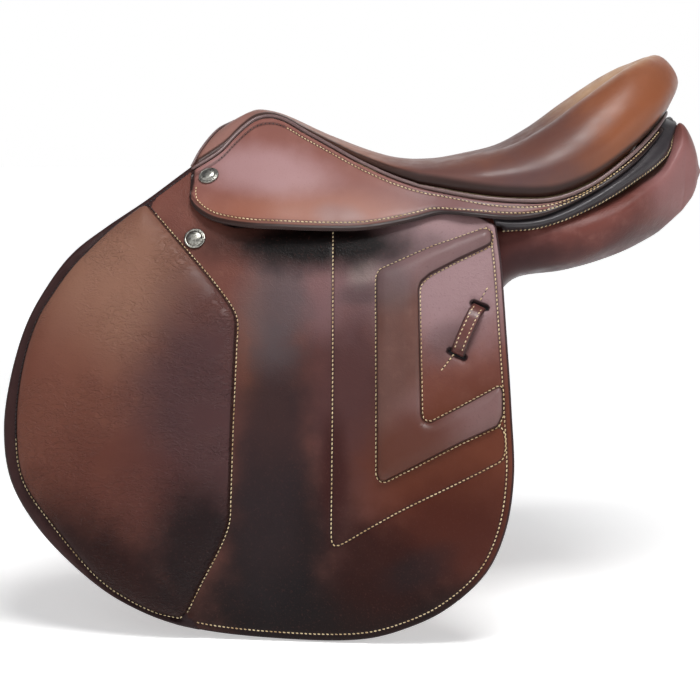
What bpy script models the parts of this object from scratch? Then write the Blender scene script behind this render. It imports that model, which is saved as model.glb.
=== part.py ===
"""English jumping saddle, built as its separate pieces.

Metres, +Z up, +X towards the cantle. The horse's near side, the left, is -Y.
The origin is on the centre plane, in the channel under the waist of the tree.
Every side piece is worked out for the right side and mirrored for the left.
"""

import math

import bmesh
import bpy
from mathutils import Matrix, Vector

# The side of the saddle: one sheet that bends round lines parallel to the fold of the flap
FOLD_HEIGHT = -0.0365          # height of the bending line above the origin, at x = 0
FOLD_RISE = 0.0625             # its climb towards the rear
FOLD_HALF_WIDTH = 0.1276       # half width of the saddle on that line, at x = 0
FOLD_SPLAY = 0.111             # how the line opens towards the rear
SIDE_LEAN = 0.526              # how fast the side widens going down
BARREL_RADIUS = 0.532          # bend of the side below the line
SHOULDER_RADIUS = 0.167        # bend of the side above the line
ROW_BELOW = 0.027              # height of one flat facet below the line
ROW_ABOVE = 0.0125             # and above it
ROWS_BELOW = 13
ROWS_ABOVE = 12

# Layers on the side, from the outer face of the sweat flap outwards
FIT_GAP = 0.0003
SWEAT_FLAP_THICKNESS = 0.004
PANEL_GAP = 0.0006
WEB_THICKNESS = 0.0016
STRAP_THICKNESS = 0.0035
STRAP_GAP = 0.0004
STRAP_ROOM = 0.0034
FLAP_THICKNESS = 0.005
SKIRT_THICKNESS = 0.0035
SKIRT_GAP = 0.0006
SKIRT_REST = 0.012             # the skirt lies on the flap for this far below the welt
SKIRT_STAND_OFF = 0.13         # then it stands off by this share of the distance

WEB_OFFSET = STRAP_GAP
STRAP_OFFSET = WEB_OFFSET + WEB_THICKNESS + STRAP_GAP
FLAP_OFFSET = STRAP_OFFSET + STRAP_THICKNESS + STRAP_ROOM
FLAP_FACE = FLAP_OFFSET + FLAP_THICKNESS
PAD_OFFSET = FLAP_FACE + FIT_GAP
SKIRT_OFFSET = FLAP_FACE + SKIRT_GAP

# Fold of the flap, just below the stud, and fold of the skirt
FLAP_FOLD = -0.006
FLAP_AXIS_CLEARANCE = 0.0015
SKIRT_FOLD_FRONT = (-0.140, 0.040)
SKIRT_FOLD_REAR = (0.086, 0.0165)
SKIRT_AXIS_CLEARANCE = 0.008   # the fold bows out between its ends

# Soft thicknesses
KNEE_PAD_CROWN = 0.0085
CHEVRON_CROWN = 0.0075
PAD_EDGE = 0.0012
PAD_SHOULDER = 0.016
COVER_THICKNESS = 0.0025
WEBBING_THICKNESS = 0.002
TREE_THICKNESS = 0.009
TREE_INSET = 0.016
TREE_DROP = 0.022
TREE_CREST_SHARE = 0.45
SPRING_THICKNESS = 0.003
HEAD_PLATE_THICKNESS = 0.0025

# Welt between seat and skirt
WELT_RADIUS = 0.0018
WELT_OFFSET = SKIRT_OFFSET + SKIRT_THICKNESS / 2
WELT_GAP = WELT_RADIUS + 0.0009
WELT_SIDES = 8

# Studs
SKIRT_STUD_AT = (-0.123, 0.0555)
SKIRT_STUD_RADIUS = 0.009
FLAP_STUD_AT = (-0.1338, 0.0075)
FLAP_STUD_RADIUS = 0.0094
STUD_RISE = 0.0042
STUD_SEAT = 0.0006             # the head's flat back over the bend of the leather

# Stirrup bar and its catch
BAR_HEIGHT = 0.028
BAR_FRONT = -0.110
BAR_REAR = -0.030
BAR_WIDTH = 0.011
BAR_THICKNESS = 0.007
BAR_OFFSET = 0.0115
BAR_PLATE_THICKNESS = 0.0035
BAR_ARM_LENGTH = 0.012
POINT_THICKNESS = 0.008
POINT_OFFSET = -(SWEAT_FLAP_THICKNESS + PANEL_GAP)
BAR_PLATE_OFFSET = POINT_OFFSET + FIT_GAP
CATCH_LENGTH = 0.021
CATCH_THICKNESS = 0.003
CATCH_PIN_RADIUS = 0.0022
RIVET_RADIUS = 0.0035
RIVET_RISE = 0.0018
RIVET_INSET = 0.030

# Girth straps
STRAP_WIDTH = 0.025
STRAP_LENGTH = 0.290
STRAP_TOP = -0.004
STRAP_FRONT_AT = -0.072
STRAP_MIDDLE_AT = -0.002
STRAP_REAR_AT = 0.038
STRAP_HOLE_RADIUS = 0.0027
STRAP_HOLES = 5
STRAP_HOLE_PITCH = 0.030
STRAP_TIP = 0.020

# Keeper loop on the flap
KEEPER_TOP = (0.111, -0.089)
KEEPER_END = (0.092, -0.129)
KEEPER_WIDTH = 0.012
KEEPER_THICKNESS = 0.0025
KEEPER_RISE = 0.0055


def fold_line(x):
    return FOLD_HEIGHT + FOLD_RISE * x


def row_heights():
    below = [-ROW_BELOW * k for k in range(ROWS_BELOW, 0, -1)]
    above = [ROW_ABOVE * k for k in range(0, ROWS_ABOVE + 1)]
    return below + above


ROWS = row_heights()


def smooth_side_point(x, height, offset):
    """Point over the true side surface: x, height above the bending line, distance outwards."""
    radius = SHOULDER_RADIUS if height > 0 else BARREL_RADIUS
    slope = SIDE_LEAN + height / radius
    half = FOLD_HALF_WIDTH + FOLD_SPLAY * x - SIDE_LEAN * height - height * height / (2 * radius)
    normal = Vector((-(FOLD_SPLAY + slope * FOLD_RISE), 1.0, slope)).normalized()
    return Vector((x, half, fold_line(x) + height)) + normal * offset


def side_point(x, height, offset):
    """The same on the facets that all flat pieces share, so that they nest."""
    k = 0
    while k < len(ROWS) - 2 and height > ROWS[k + 1]:
        k += 1
    share = (height - ROWS[k]) / (ROWS[k + 1] - ROWS[k])
    low = smooth_side_point(x, ROWS[k], offset)
    high = smooth_side_point(x, ROWS[k + 1], offset)
    return low.lerp(high, share)


def side_normal(x, height):
    return (side_point(x, height, 0.01) - side_point(x, height, 0.0)).normalized()


def to_height(points):
    """Outline points given as x, z become x, height above the bending line."""
    return [(x, z - fold_line(x)) for x, z in points]


def smooth_curve(points, steps, closed=False):
    """Points on a centripetal spline through the given ones."""
    pts = [Vector(p) for p in points]
    count = len(pts)
    out = []
    spans = count if closed else count - 1
    for k in range(spans):
        p1 = pts[k]
        p2 = pts[(k + 1) % count]
        p0 = pts[(k - 1) % count] if closed or k > 0 else p1 * 2 - p2
        p3 = pts[(k + 2) % count] if closed or k + 2 < count else p2 * 2 - p1
        gaps = [max((b - a).length, 1e-9) ** 0.5 for a, b in ((p0, p1), (p1, p2), (p2, p3))]
        m1 = ((p1 - p0) / gaps[0] - (p2 - p0) / (gaps[0] + gaps[1]) + (p2 - p1) / gaps[1]) * gaps[1]
        m2 = ((p2 - p1) / gaps[1] - (p3 - p1) / (gaps[1] + gaps[2]) + (p3 - p2) / gaps[2]) * gaps[1]
        for step in range(steps):
            t = step / steps
            a = 2 * t ** 3 - 3 * t ** 2 + 1
            b = t ** 3 - 2 * t ** 2 + t
            c = -2 * t ** 3 + 3 * t ** 2
            d = t ** 3 - t ** 2
            out.append(p1 * a + m1 * b + p2 * c + m2 * d)
    if not closed:
        out.append(pts[-1])
    return out


def even_curve(points, count):
    """The same spline, read at an even spacing."""
    fine = smooth_curve(points, 12)
    lengths = [0.0]
    for a, b in zip(fine, fine[1:]):
        lengths.append(lengths[-1] + (b - a).length)
    out = []
    k = 0
    for step in range(count):
        target = lengths[-1] * step / (count - 1)
        while k < len(fine) - 2 and lengths[k + 1] < target:
            k += 1
        share = (target - lengths[k]) / max(lengths[k + 1] - lengths[k], 1e-9)
        out.append(fine[k].lerp(fine[k + 1], min(1.0, share)))
    return out


# Materials and objects

def material(name, colour, roughness, metallic=0.0):
    found = bpy.data.materials.get(name)
    if found:
        return found
    made = bpy.data.materials.new(name)
    made.use_nodes = True
    shader = made.node_tree.nodes["Principled BSDF"]
    shader.inputs["Base Color"].default_value = (*colour, 1.0)
    shader.inputs["Roughness"].default_value = roughness
    shader.inputs["Metallic"].default_value = metallic
    return made


SEAT_LEATHER = ("seat leather", (0.24, 0.10, 0.05), 0.32)
SKIRT_LEATHER = ("skirt leather", (0.27, 0.12, 0.09), 0.36)
FLAP_LEATHER = ("flap leather", (0.12, 0.05, 0.035), 0.42)
CALF_LEATHER = ("calf leather", (0.15, 0.06, 0.045), 0.5)
PANEL_LEATHER = ("panel leather", (0.22, 0.09, 0.065), 0.4)
DARK_LEATHER = ("dark leather", (0.02, 0.014, 0.013), 0.35)
STRAP_LEATHER = ("strap leather", (0.10, 0.045, 0.03), 0.45)
SILVER = ("antiqued nickel", (0.62, 0.62, 0.60), 0.25, 1.0)
STEEL = ("forged steel", (0.45, 0.45, 0.46), 0.35, 1.0)
WOOD = ("laminated beech", (0.45, 0.30, 0.17), 0.6)
FOAM = ("latex foam", (0.75, 0.66, 0.45), 0.9)
WEBBING = ("jute webbing", (0.50, 0.42, 0.28), 0.9)


def add_part(name, bm, look, origin=None, smooth=False):
    """Turns a bmesh, whose points are in world space, into a named object."""
    bmesh.ops.recalc_face_normals(bm, faces=bm.faces)
    mesh = bpy.data.meshes.new(name)
    if origin is not None:
        bmesh.ops.translate(bm, verts=bm.verts, vec=-origin)
    bm.to_mesh(mesh)
    bm.free()
    if smooth:
        mesh.shade_smooth()
        mesh.set_sharp_from_angle(angle=math.radians(35))
    mesh.materials.append(material(*look))
    made = bpy.data.objects.new(name, mesh)
    if origin is not None:
        made.location = origin
    bpy.context.collection.objects.link(made)
    return made


def add_pair(name, make, look, origin=None, smooth=False):
    """Adds the right piece, and its mirror image as the left one."""
    for side, mirror in (("right", 1.0), ("left", -1.0)):
        bm = make()
        place = Vector(origin) if origin is not None else None
        if mirror < 0:
            bmesh.ops.scale(bm, verts=bm.verts, vec=(1.0, -1.0, 1.0))
            if place is not None:
                place.y = -place.y
        add_part(name + "_" + side, bm, look, place, smooth)


# Flat pieces, cut like leather and then bent on to the side

def flat_piece(outline, columns=0.0, rings=()):
    """A flat outline in x and height, with inset rings, cut along the bending rows."""
    bm = bmesh.new()
    face = bm.faces.new([bm.verts.new((x, 0.0, h)) for x, h in outline])
    for ring in rings:
        bmesh.ops.inset_region(bm, faces=[face], thickness=ring, use_even_offset=True, use_boundary=True)
    for height in ROWS:
        cut(bm, Vector((0, 0, height)), Vector((0, 0, 1)))
    if columns:
        first = math.ceil(min(x for x, h in outline) / columns)
        last = math.floor(max(x for x, h in outline) / columns)
        for k in range(first, last + 1):
            cut(bm, Vector((k * columns, 0, 0)), Vector((1, 0, 0)))
    return bm


def cut(bm, point, normal):
    geometry = bm.verts[:] + bm.edges[:] + bm.faces[:]
    bmesh.ops.bisect_plane(bm, geom=geometry, dist=1e-6, plane_co=point, plane_no=normal)


def thicken(flat, inner, outer):
    """Closed solid between two ways of placing the points of a flat mesh."""
    flat.verts.index_update()
    solid = bmesh.new()
    low = [solid.verts.new(inner(v.co.x, v.co.z)) for v in flat.verts]
    high = [solid.verts.new(outer(v.co.x, v.co.z)) for v in flat.verts]
    for face in flat.faces:
        ring = [v.index for v in face.verts]
        solid.faces.new([low[k] for k in ring])
        solid.faces.new([high[k] for k in reversed(ring)])
    for edge in flat.edges:
        if len(edge.link_faces) == 1:
            a, b = (v.index for v in edge.verts)
            solid.faces.new([low[a], low[b], high[b], high[a]])
    flat.free()
    return solid


def plate(outline, inner, outer):
    """A sheet of even thickness on the side."""
    flat = flat_piece(outline)
    return thicken(flat, lambda x, h: side_point(x, h, inner), lambda x, h: side_point(x, h, outer))


def edge_distance(x, h, outline):
    """Distance from a point to the nearest stretch of an outline."""
    best = 1.0
    count = len(outline)
    for k in range(count):
        ax, ah = outline[k]
        bx, bh = outline[(k + 1) % count]
        dx, dh = bx - ax, bh - ah
        share = ((x - ax) * dx + (h - ah) * dh) / max(dx * dx + dh * dh, 1e-12)
        share = min(1.0, max(0.0, share))
        best = min(best, math.hypot(x - ax - share * dx, h - ah - share * dh))
    return best


def crown(distance, height, shoulder):
    """Height of a stuffed pad at a distance in from its seam."""
    share = 1.0 - min(1.0, distance / shoulder)
    return PAD_EDGE + (height - PAD_EDGE) * math.sqrt(max(0.0, 1.0 - share * share))


def pad(outline, seams, offset, height, rings=(0.004, 0.008), columns=0.035):
    """A stuffed pad on the side: flat below, crowned above, pulled in along its seams."""
    flat = flat_piece(outline, columns, rings)

    def top(x, h):
        return side_point(x, h, offset + crown(edge_distance(x, h, seams), height, PAD_SHOULDER))

    return thicken(flat, lambda x, h: side_point(x, h, offset), top)


def shell(grid_outer, grid_inner):
    """Closed solid between two grids of points, each a list of rows."""
    bm = bmesh.new()
    outer = [[bm.verts.new(p) for p in row] for row in grid_outer]
    inner = [[bm.verts.new(p) for p in row] for row in grid_inner]
    rows = len(outer)
    cols = len(outer[0])
    for i in range(rows - 1):
        for j in range(cols - 1):
            for grid, turn in ((outer, False), (inner, True)):
                a, b, c, d = grid[i][j], grid[i][j + 1], grid[i + 1][j + 1], grid[i + 1][j]
                for ring in ((a, b, c), (a, c, d)):
                    bm.faces.new(reversed(ring) if turn else ring)
    for i in range(rows - 1):
        for j in (0, cols - 1):
            bm.faces.new([outer[i][j], outer[i + 1][j], inner[i + 1][j], inner[i][j]])
    for j in range(cols - 1):
        for i in (0, rows - 1):
            bm.faces.new([outer[i][j], inner[i][j], inner[i][j + 1], outer[i][j + 1]])
    return bm


def grid_normals(grid):
    """Outward normals of a grid of points."""
    rows = len(grid)
    cols = len(grid[0])
    normals = []
    for i in range(rows):
        line = []
        for j in range(cols):
            along = grid[min(i + 1, rows - 1)][j] - grid[max(i - 1, 0)][j]
            across = grid[i][min(j + 1, cols - 1)] - grid[i][max(j - 1, 0)]
            line.append(along.cross(across).normalized())
        normals.append(line)
    return normals


def mirrored(points):
    return [Vector((p.x, -p.y, p.z)) for p in points]


# Seat: ribs from the welt over the side and the crest to the centre line

SEAT_RIBS = [
    [(-0.143, 0.080, 0.033), (-0.134, 0.062, 0.050), (-0.121, 0.036, 0.066), (-0.107, 0.0, 0.074)],
    [(-0.118, 0.070, 0.048), (-0.113, 0.057, 0.060), (-0.105, 0.033, 0.0755), (-0.098, 0.0, 0.080)],
    [(-0.089, 0.046, 0.076), (-0.088, 0.040, 0.0795), (-0.086, 0.022, 0.0835), (-0.084, 0.0, 0.0845)],
    [(-0.063, 0.049, 0.076), (-0.063, 0.044, 0.0785), (-0.062, 0.025, 0.0797), (-0.062, 0.0, 0.0800)],
    [(-0.017, 0.082, 0.053), (-0.017, 0.078, 0.0565), (-0.017, 0.050, 0.0597), (-0.017, 0.0, 0.0600)],
    [(0.036, 0.115, 0.026), (0.036, 0.111, 0.033), (0.036, 0.080, 0.0405), (0.036, 0.0, 0.0415)],
    [(0.076, 0.132, 0.014), (0.077, 0.129, 0.026), (0.078, 0.096, 0.0375), (0.078, 0.0, 0.0370)],
    [(0.109, 0.138, 0.007), (0.110, 0.137, 0.025), (0.111, 0.102, 0.042), (0.111, 0.0, 0.0370)],
    [(0.142, 0.139, 0.004), (0.144, 0.139, 0.027), (0.145, 0.106, 0.050), (0.143, 0.0, 0.0420)],
    [(0.175, 0.137, 0.005), (0.178, 0.138, 0.034), (0.177, 0.104, 0.067), (0.168, 0.0, 0.0530)],
    [(0.209, 0.130, 0.017), (0.212, 0.131, 0.050), (0.209, 0.098, 0.090), (0.192, 0.0, 0.0680)],
    [(0.245, 0.111, 0.0415), (0.249, 0.115, 0.072), (0.242, 0.084, 0.113), (0.213, 0.0, 0.0840)],
    [(0.2675, 0.089, 0.0605), (0.274, 0.094, 0.090), (0.262, 0.064, 0.125), (0.228, 0.0, 0.0950)],
    [(0.278, 0.072, 0.0705), (0.288, 0.072, 0.102), (0.273, 0.046, 0.130), (0.237, 0.0, 0.1010)],
    [(0.288, 0.044, 0.079), (0.299, 0.042, 0.110), (0.281, 0.026, 0.1335), (0.243, 0.0, 0.1060)],
    [(0.2955, 0.0, 0.083), (0.303, 0.0, 0.113), (0.285, 0.0, 0.1345), (0.246, 0.0, 0.1080)],
]



FRONT_STATIONS = 13            # stations along the welt, up to the waist
REAR_STATIONS = 14             # and from there to the centre of the back
SEAT_STATIONS = FRONT_STATIONS + REAR_STATIONS
SEAT_STEPS = 8                 # points of a rib, from the welt to the centre

# The welt in front, as x and height above the bending line
WELT_HEIGHTS = [
    (-0.140, 0.064), (-0.132, 0.068), (-0.115, 0.078), (-0.101, 0.092), (-0.086, 0.1035), (-0.073, 0.106),
    (-0.060, 0.103), (-0.038, 0.090), (-0.015, 0.0765), (0.009, 0.0625), (0.038, 0.048), (0.062, 0.0385),
]
REAR_RIB = 7                   # first rib behind that


def front_welt():
    """Stations of the welt in front, as x and height."""
    return even_curve([(x, 0.0, h) for x, h in WELT_HEIGHTS], FRONT_STATIONS)


def welt_line():
    """Stations of one side's welt, from the stud round to the centre of the back."""
    front = [smooth_side_point(p.x, p.z, WELT_OFFSET) for p in front_welt()]
    rear = even_curve([front[-1]] + [rib[0] for rib in SEAT_RIBS[REAR_RIB:]], REAR_STATIONS + 1)
    return front + rear[1:]


def running_lengths(points):
    lengths = [0.0]
    for a, b in zip(points, points[1:]):
        lengths.append(lengths[-1] + (b - a).length)
    return lengths


def length_beside(line, lengths, point):
    """How far along a line the point nearest to a given one is."""
    best = (1.0, 0.0)
    for a, b, start in zip(line, line[1:], lengths):
        run = b - a
        share = min(1.0, max(0.0, (point - a).dot(run) / run.length_squared))
        best = min(best, ((point - a - run * share).length, start + run.length * share))
    return best[1]


def slope_at(knots, values, k):
    low = max(k - 1, 0)
    high = min(k + 1, len(knots) - 1)
    return (values[high] - values[low]) / (knots[high] - knots[low])


def read_between(knots, values, where):
    """Cubic reading of vectors that are known at the knots."""
    k = 0
    while k < len(knots) - 2 and where > knots[k + 1]:
        k += 1
    span = knots[k + 1] - knots[k]
    t = (where - knots[k]) / span
    start = values[k] * (2 * t ** 3 - 3 * t ** 2 + 1)
    end = values[k + 1] * (-2 * t ** 3 + 3 * t ** 2)
    leave = slope_at(knots, values, k) * span * (t ** 3 - 2 * t ** 2 + t)
    arrive = slope_at(knots, values, k + 1) * span * (t ** 3 - t ** 2)
    return start + leave + end + arrive


def seat_half(ribs):
    """Rows of points on one side, one row at each station of the welt."""
    line = welt_line()
    lengths = running_lengths(line)
    edges = [Vector(rib[0]) for rib in SEAT_RIBS]
    knots = [length_beside(line, lengths, edge) for edge in edges]
    rows = [even_curve(rib, SEAT_STEPS) for rib in ribs]
    half = [[] for point in line]
    for j in range(SEAT_STEPS):
        hold = 1.0 - j / (SEAT_STEPS - 1)
        values = [row[j] - edge * hold for row, edge in zip(rows, edges)]
        for i, point in enumerate(line):
            half[i].append(read_between(knots, values, lengths[i]) + point * hold)
    for row in half:
        row[-1].y = 0.0
    for point in half[-1]:
        point.y = 0.0
    return half


def cover_ribs():
    """The seat ribs, starting just above the welt."""
    edges = [Vector(rib[0]) for rib in SEAT_RIBS]
    ribs = []
    for k, rib in enumerate(SEAT_RIBS):
        pts = [Vector(p) for p in rib]
        pts[0] += step_off(pts[1] - pts[0], run_of(edges, k))
        ribs.append(pts)
    return ribs


def run_of(points, k):
    """Direction of a line of points at one of them."""
    return (points[min(k + 1, len(points) - 1)] - points[max(k - 1, 0)]).normalized()


def step_off(toward, along):
    """Step in a direction that clears the welt, however slanted it leaves the welt's line."""
    away = toward.normalized()
    square = (away - along * away.dot(along)).length
    return away * (WELT_GAP / square)


def tree_ribs():
    """Ribs of the tree's top: inside the seat's edge, lower, with a flatter crest."""
    ribs = []
    for rib in SEAT_RIBS:
        edge, side, crest, centre = (Vector(p) for p in rib)
        inward = Vector((centre.x - edge.x, centre.y - edge.y, 0.0)).normalized()
        start = edge + inward * TREE_INSET + Vector((0, 0, -0.002))
        end = centre + Vector((0, 0, -TREE_DROP))
        rise = max(0.0, crest.z - edge.z - (centre.z - edge.z) * 0.35) * TREE_CREST_SHARE
        middle = [start.lerp(end, share) + Vector((0, 0, rise * lift)) for share, lift in ((0.3, 0.8), (0.62, 0.7))]
        ribs.append([start] + middle + [end])
    return ribs


def seat_surface(ribs):
    """Open surface over both halves, merged on the centre plane. Returns it with the cell of each face."""
    half = seat_half(ribs)
    bm = bmesh.new()
    right = [[bm.verts.new(p) for p in row] for row in half]
    left = [[twin(bm, v) for v in row] for row in right]
    cells = []
    for verts, turn in ((right, False), (left, True)):
        for i in range(SEAT_STATIONS - 1):
            for j in range(SEAT_STEPS - 1):
                a, b, c, d = verts[i][j], verts[i][j + 1], verts[i + 1][j + 1], verts[i + 1][j]
                for ring in ((a, b, c), (a, c, d)):
                    bm.faces.new(reversed(ring) if turn else ring)
                    cells.append((i, j))
    bm.verts.index_update()
    bm.faces.ensure_lookup_table()
    bm.normal_update()
    if sum(face.normal.z for face in bm.faces) < 0:
        bmesh.ops.reverse_faces(bm, faces=bm.faces)
        bm.normal_update()
    return bm, cells


def twin(bm, vert):
    """The mirror image of a vertex, or the vertex itself on the centre plane."""
    if vert.co.y == 0.0:
        return vert
    return bm.verts.new((vert.co.x, -vert.co.y, vert.co.z))


def seat_layer(surface, near, far, keep=None):
    """Closed layer under a seat surface, between two depths, on the cells that keep accepts."""
    bm, cells = surface
    faces = [f for k, f in enumerate(bm.faces) if keep is None or keep(*cells[k])]
    verts = {v for f in faces for v in f.verts}
    solid = bmesh.new()
    high = {v: solid.verts.new(near(v)) for v in verts}
    low = {v: solid.verts.new(far(v)) for v in verts}
    chosen = set(faces)
    for f in faces:
        solid.faces.new([high[v] for v in f.verts])
        solid.faces.new([low[v] for v in reversed(f.verts)])
        for loop in f.loops:
            edge = loop.edge
            if sum(1 for g in edge.link_faces if g in chosen) == 1:
                a, b = loop.vert, loop.link_loop_next.vert
                solid.faces.new([high[b], high[a], low[a], low[b]])
    return solid


def depth(amount):
    return lambda v: v.co - v.normal * amount


HEAD_STATIONS = 6              # stations of the seat over the pommel
RAIL_STEPS = 3                 # cells of the tree's rail, from its outer edge
WEB_STATIONS = (8, 11, 14, 17) # the seat web's cross bands


def on_tree(i, j):
    return i < HEAD_STATIONS or j < RAIL_STEPS


def on_web(i, j):
    long_band = j >= SEAT_STEPS - 3 and HEAD_STATIONS - 1 <= i < SEAT_STATIONS - 2
    return long_band or (i in WEB_STATIONS and j >= 1)


def make_seat():
    cover = seat_surface(cover_ribs())
    tree = seat_surface(tree_ribs())
    add_part("seat_cover", seat_layer(cover, depth(0.0), depth(COVER_THICKNESS)), SEAT_LEATHER, smooth=True)
    below = [v.co.copy() for v in tree[0].verts]
    foam = seat_layer(cover, depth(COVER_THICKNESS + FIT_GAP), lambda v: below[v.index])
    add_part("seat_foam", foam, FOAM, smooth=True)
    web_top = FIT_GAP
    web_low = web_top + WEBBING_THICKNESS
    add_part("seat_web", seat_layer(tree, depth(web_top), depth(web_low), on_web), WEBBING)
    tree_top = web_low + FIT_GAP
    tree_low = tree_top + TREE_THICKNESS
    tree_frame = add_part("tree", seat_layer(tree, depth(tree_top), depth(tree_low), on_tree), WOOD)
    join_points(tree_frame)
    plate_top = tree_low + FIT_GAP
    plate_low = plate_top + HEAD_PLATE_THICKNESS

    def on_head(i, j):
        return 0 < i < HEAD_STATIONS - 1 and j >= SEAT_STEPS - 4

    def on_spring(i, j):
        return HEAD_STATIONS <= i < SEAT_STATIONS - 5 and j == 1

    add_part("head_plate", seat_layer(tree, depth(plate_top), depth(plate_low), on_head), STEEL)
    spring_low = plate_top + SPRING_THICKNESS
    bm, cells = tree
    for side, sign in (("right", 1.0), ("left", -1.0)):
        own = [cell if face.calc_center_median().y * sign > 0 else (-1, -1) for face, cell in zip(bm.faces, cells)]
        spring = seat_layer((bm, own), depth(plate_top), depth(spring_low), on_spring)
        add_part("tree_spring_" + side, spring, STEEL)


# Points of the tree: two legs that follow the sides under the pommel

POINT_OUTLINE = [
    (-0.130, 0.068), (-0.124, 0.082), (-0.114, 0.090), (-0.100, 0.090), (-0.080, 0.082), (-0.056, 0.066),
    (-0.030, 0.044), (-0.024, 0.020), (-0.050, 0.008), (-0.084, -0.004), (-0.098, -0.040), (-0.106, -0.072),
    (-0.116, -0.080), (-0.126, -0.070), (-0.132, -0.030), (-0.133, 0.020),
]


def join_points(tree_frame):
    """Unites the head of the tree with its two points."""
    for mirror in (1.0, -1.0):
        leg = plate(POINT_OUTLINE, POINT_OFFSET - POINT_THICKNESS, POINT_OFFSET)
        combine(tree_frame, mirrored_mesh(leg, mirror), "UNION")


# Skirt

SKIRT_REAR_EDGE = [
    (0.092, 0.1505, -0.0065), (0.109, 0.153, -0.008), (0.126, 0.153, -0.010), (0.146, 0.149, -0.011),
    (0.167, 0.1445, -0.008), (0.192, 0.139, 0.002), (0.226, 0.129, 0.021), (0.252, 0.112, 0.0385),
    (0.270, 0.093, 0.0545), (0.2815, 0.075, 0.065), (0.292, 0.046, 0.0735), (0.2985, 0.0, 0.0775),
]
SKIRT_ROWS = 4
SKIRT_SHORT = 3                # stations of the welt at the back that the skirts leave bare


def welt_height(x):
    """Height of the welt above the bending line, in front of the waist."""
    for (xa, ha), (xb, hb) in zip(WELT_HEIGHTS, WELT_HEIGHTS[1:]):
        if x <= xb:
            share = max(0.0, (x - xa) / (xb - xa))
            return ha + (hb - ha) * share
    xa, ha = WELT_HEIGHTS[-1]
    return ha + (x - xa) * -0.38


def skirt_offset(x, h):
    below = max(0.0, welt_height(x) - h - SKIRT_REST)
    return SKIRT_OFFSET + SKIRT_STAND_OFF * below


def skirt_point(x, h, lift):
    return smooth_side_point(x, h, skirt_offset(x, h) + lift)


def skirt_front_rows():
    """Rows of the skirt above its fold, as x and height, from the welt down."""
    fold_a = Vector((SKIRT_FOLD_FRONT[0], 0.0, SKIRT_FOLD_FRONT[1]))
    fold_b = Vector((SKIRT_FOLD_REAR[0], 0.0, SKIRT_FOLD_REAR[1]))
    rows = []
    tops = front_welt()
    for k, top in enumerate(tops):
        low = fold_a.lerp(fold_b, k / (FRONT_STATIONS - 1))
        rows.append(skirt_row(top, low, run_of(tops, k)))
    return rows


def skirt_rear_rows():
    """Rows of the skirt's outer face behind the waist, with the normals there."""
    fold_end = skirt_point(*SKIRT_FOLD_REAR, SKIRT_THICKNESS)
    lows = even_curve([fold_end] + SKIRT_REAR_EDGE, REAR_STATIONS + 1)
    tops = welt_line()[FRONT_STATIONS - 1:]
    rows = [skirt_row(tops[k], low, run_of(tops, k)) for k, low in enumerate(lows)]
    for row in rows:
        for point in row:
            keep_side(point)
    return rows[1:], grid_normals(rows)[1:]


def skirt_row(top, low, along):
    top = top + step_off(low - top, along)
    return [top.lerp(low, r / SKIRT_ROWS) for r in range(SKIRT_ROWS + 1)]


def make_skirt():
    front = skirt_front_rows()
    outer = [[skirt_point(p.x, p.z, SKIRT_THICKNESS) for p in row] for row in front]
    inner = [[skirt_point(p.x, p.z, 0.0) for p in row] for row in front]
    rear, normals = skirt_rear_rows()
    for row, directions in zip(rear, normals):
        outer.append(row)
        inner.append([keep_side(p - n * SKIRT_THICKNESS) for p, n in zip(row, directions)])
    end = SEAT_STATIONS - SKIRT_SHORT
    return shell(outer[:end], inner[:end])


def keep_side(point):
    point.y = max(point.y, FIT_GAP / 2)
    return point


SKIRT_LOBE_EDGE = [
    (-0.1395, 0.0385), (-0.1365, 0.032), (-0.128, 0.024), (-0.118, 0.018), (-0.102, 0.0125), (-0.080, 0.008),
    (-0.049, 0.0055), (-0.020, 0.004), (0.010, 0.0035), (0.032, 0.0055), (0.053, 0.009), (0.068, 0.012),
    (0.080, 0.0155),
]


def skirt_fold_height(x):
    (xa, ha), (xb, hb) = SKIRT_FOLD_FRONT, SKIRT_FOLD_REAR
    return ha + (hb - ha) * (x - xa) / (xb - xa)


def make_skirt_lobe():
    edge = [(p.x, p.z) for p in smooth_curve([(x, 0.0, h) for x, h in SKIRT_LOBE_EDGE], 3)]
    start = edge[0][0]
    end = edge[-1][0]
    steps = 14
    top = [end + (start - end) * k / steps for k in range(steps + 1)]
    outline = edge[:-1] + [(x, skirt_fold_height(x) - FIT_GAP) for x in top]
    if outline[0][1] > outline[-1][1] - 0.0005:
        outline = outline[1:]
    flat = flat_piece(outline, 0.018)
    return thicken(flat, lambda x, h: skirt_point(x, h, 0.0), lambda x, h: skirt_point(x, h, SKIRT_THICKNESS))


# Flap

FLAP_OUTLINE = [
    (-0.146, 0.020), (-0.180, -0.005), (-0.215, -0.028), (-0.2435, -0.050), (-0.265, -0.079), (-0.281, -0.110),
    (-0.293, -0.155), (-0.297, -0.196), (-0.290, -0.237), (-0.265, -0.277), (-0.221, -0.318), (-0.189, -0.338),
    (-0.139, -0.356), (-0.054, -0.364), (0.014, -0.362), (0.048, -0.352), (0.081, -0.335), (0.114, -0.304),
    (0.130, -0.270), (0.1375, -0.225), (0.136, -0.170), (0.133, -0.108), (0.130, -0.050), (0.127, -0.024),
]
FLAP_HIDDEN_TOP = [
    (0.127, 0.0055), (0.110, 0.0150), (0.090, 0.022), (0.062, 0.0295), (0.040, 0.039), (0.0145, 0.0525),
    (0.0125, 0.0525), (0.0115, 0.016), (-0.098, 0.016), (-0.106, 0.0185), (-0.1125, 0.0215), (-0.1135, 0.050),
    (-0.1275, 0.0585), (-0.136, 0.0585),
]
KNEE_SEAM = [
    (-0.178, -0.011), (-0.139, -0.0495), (-0.115, -0.075), (-0.098, -0.097), (-0.0955, -0.105), (-0.096, -0.127),
    (-0.098, -0.184), (-0.100, -0.248), (-0.101, -0.266), (-0.107, -0.283), (-0.126, -0.319), (-0.138, -0.343),
]
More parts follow.
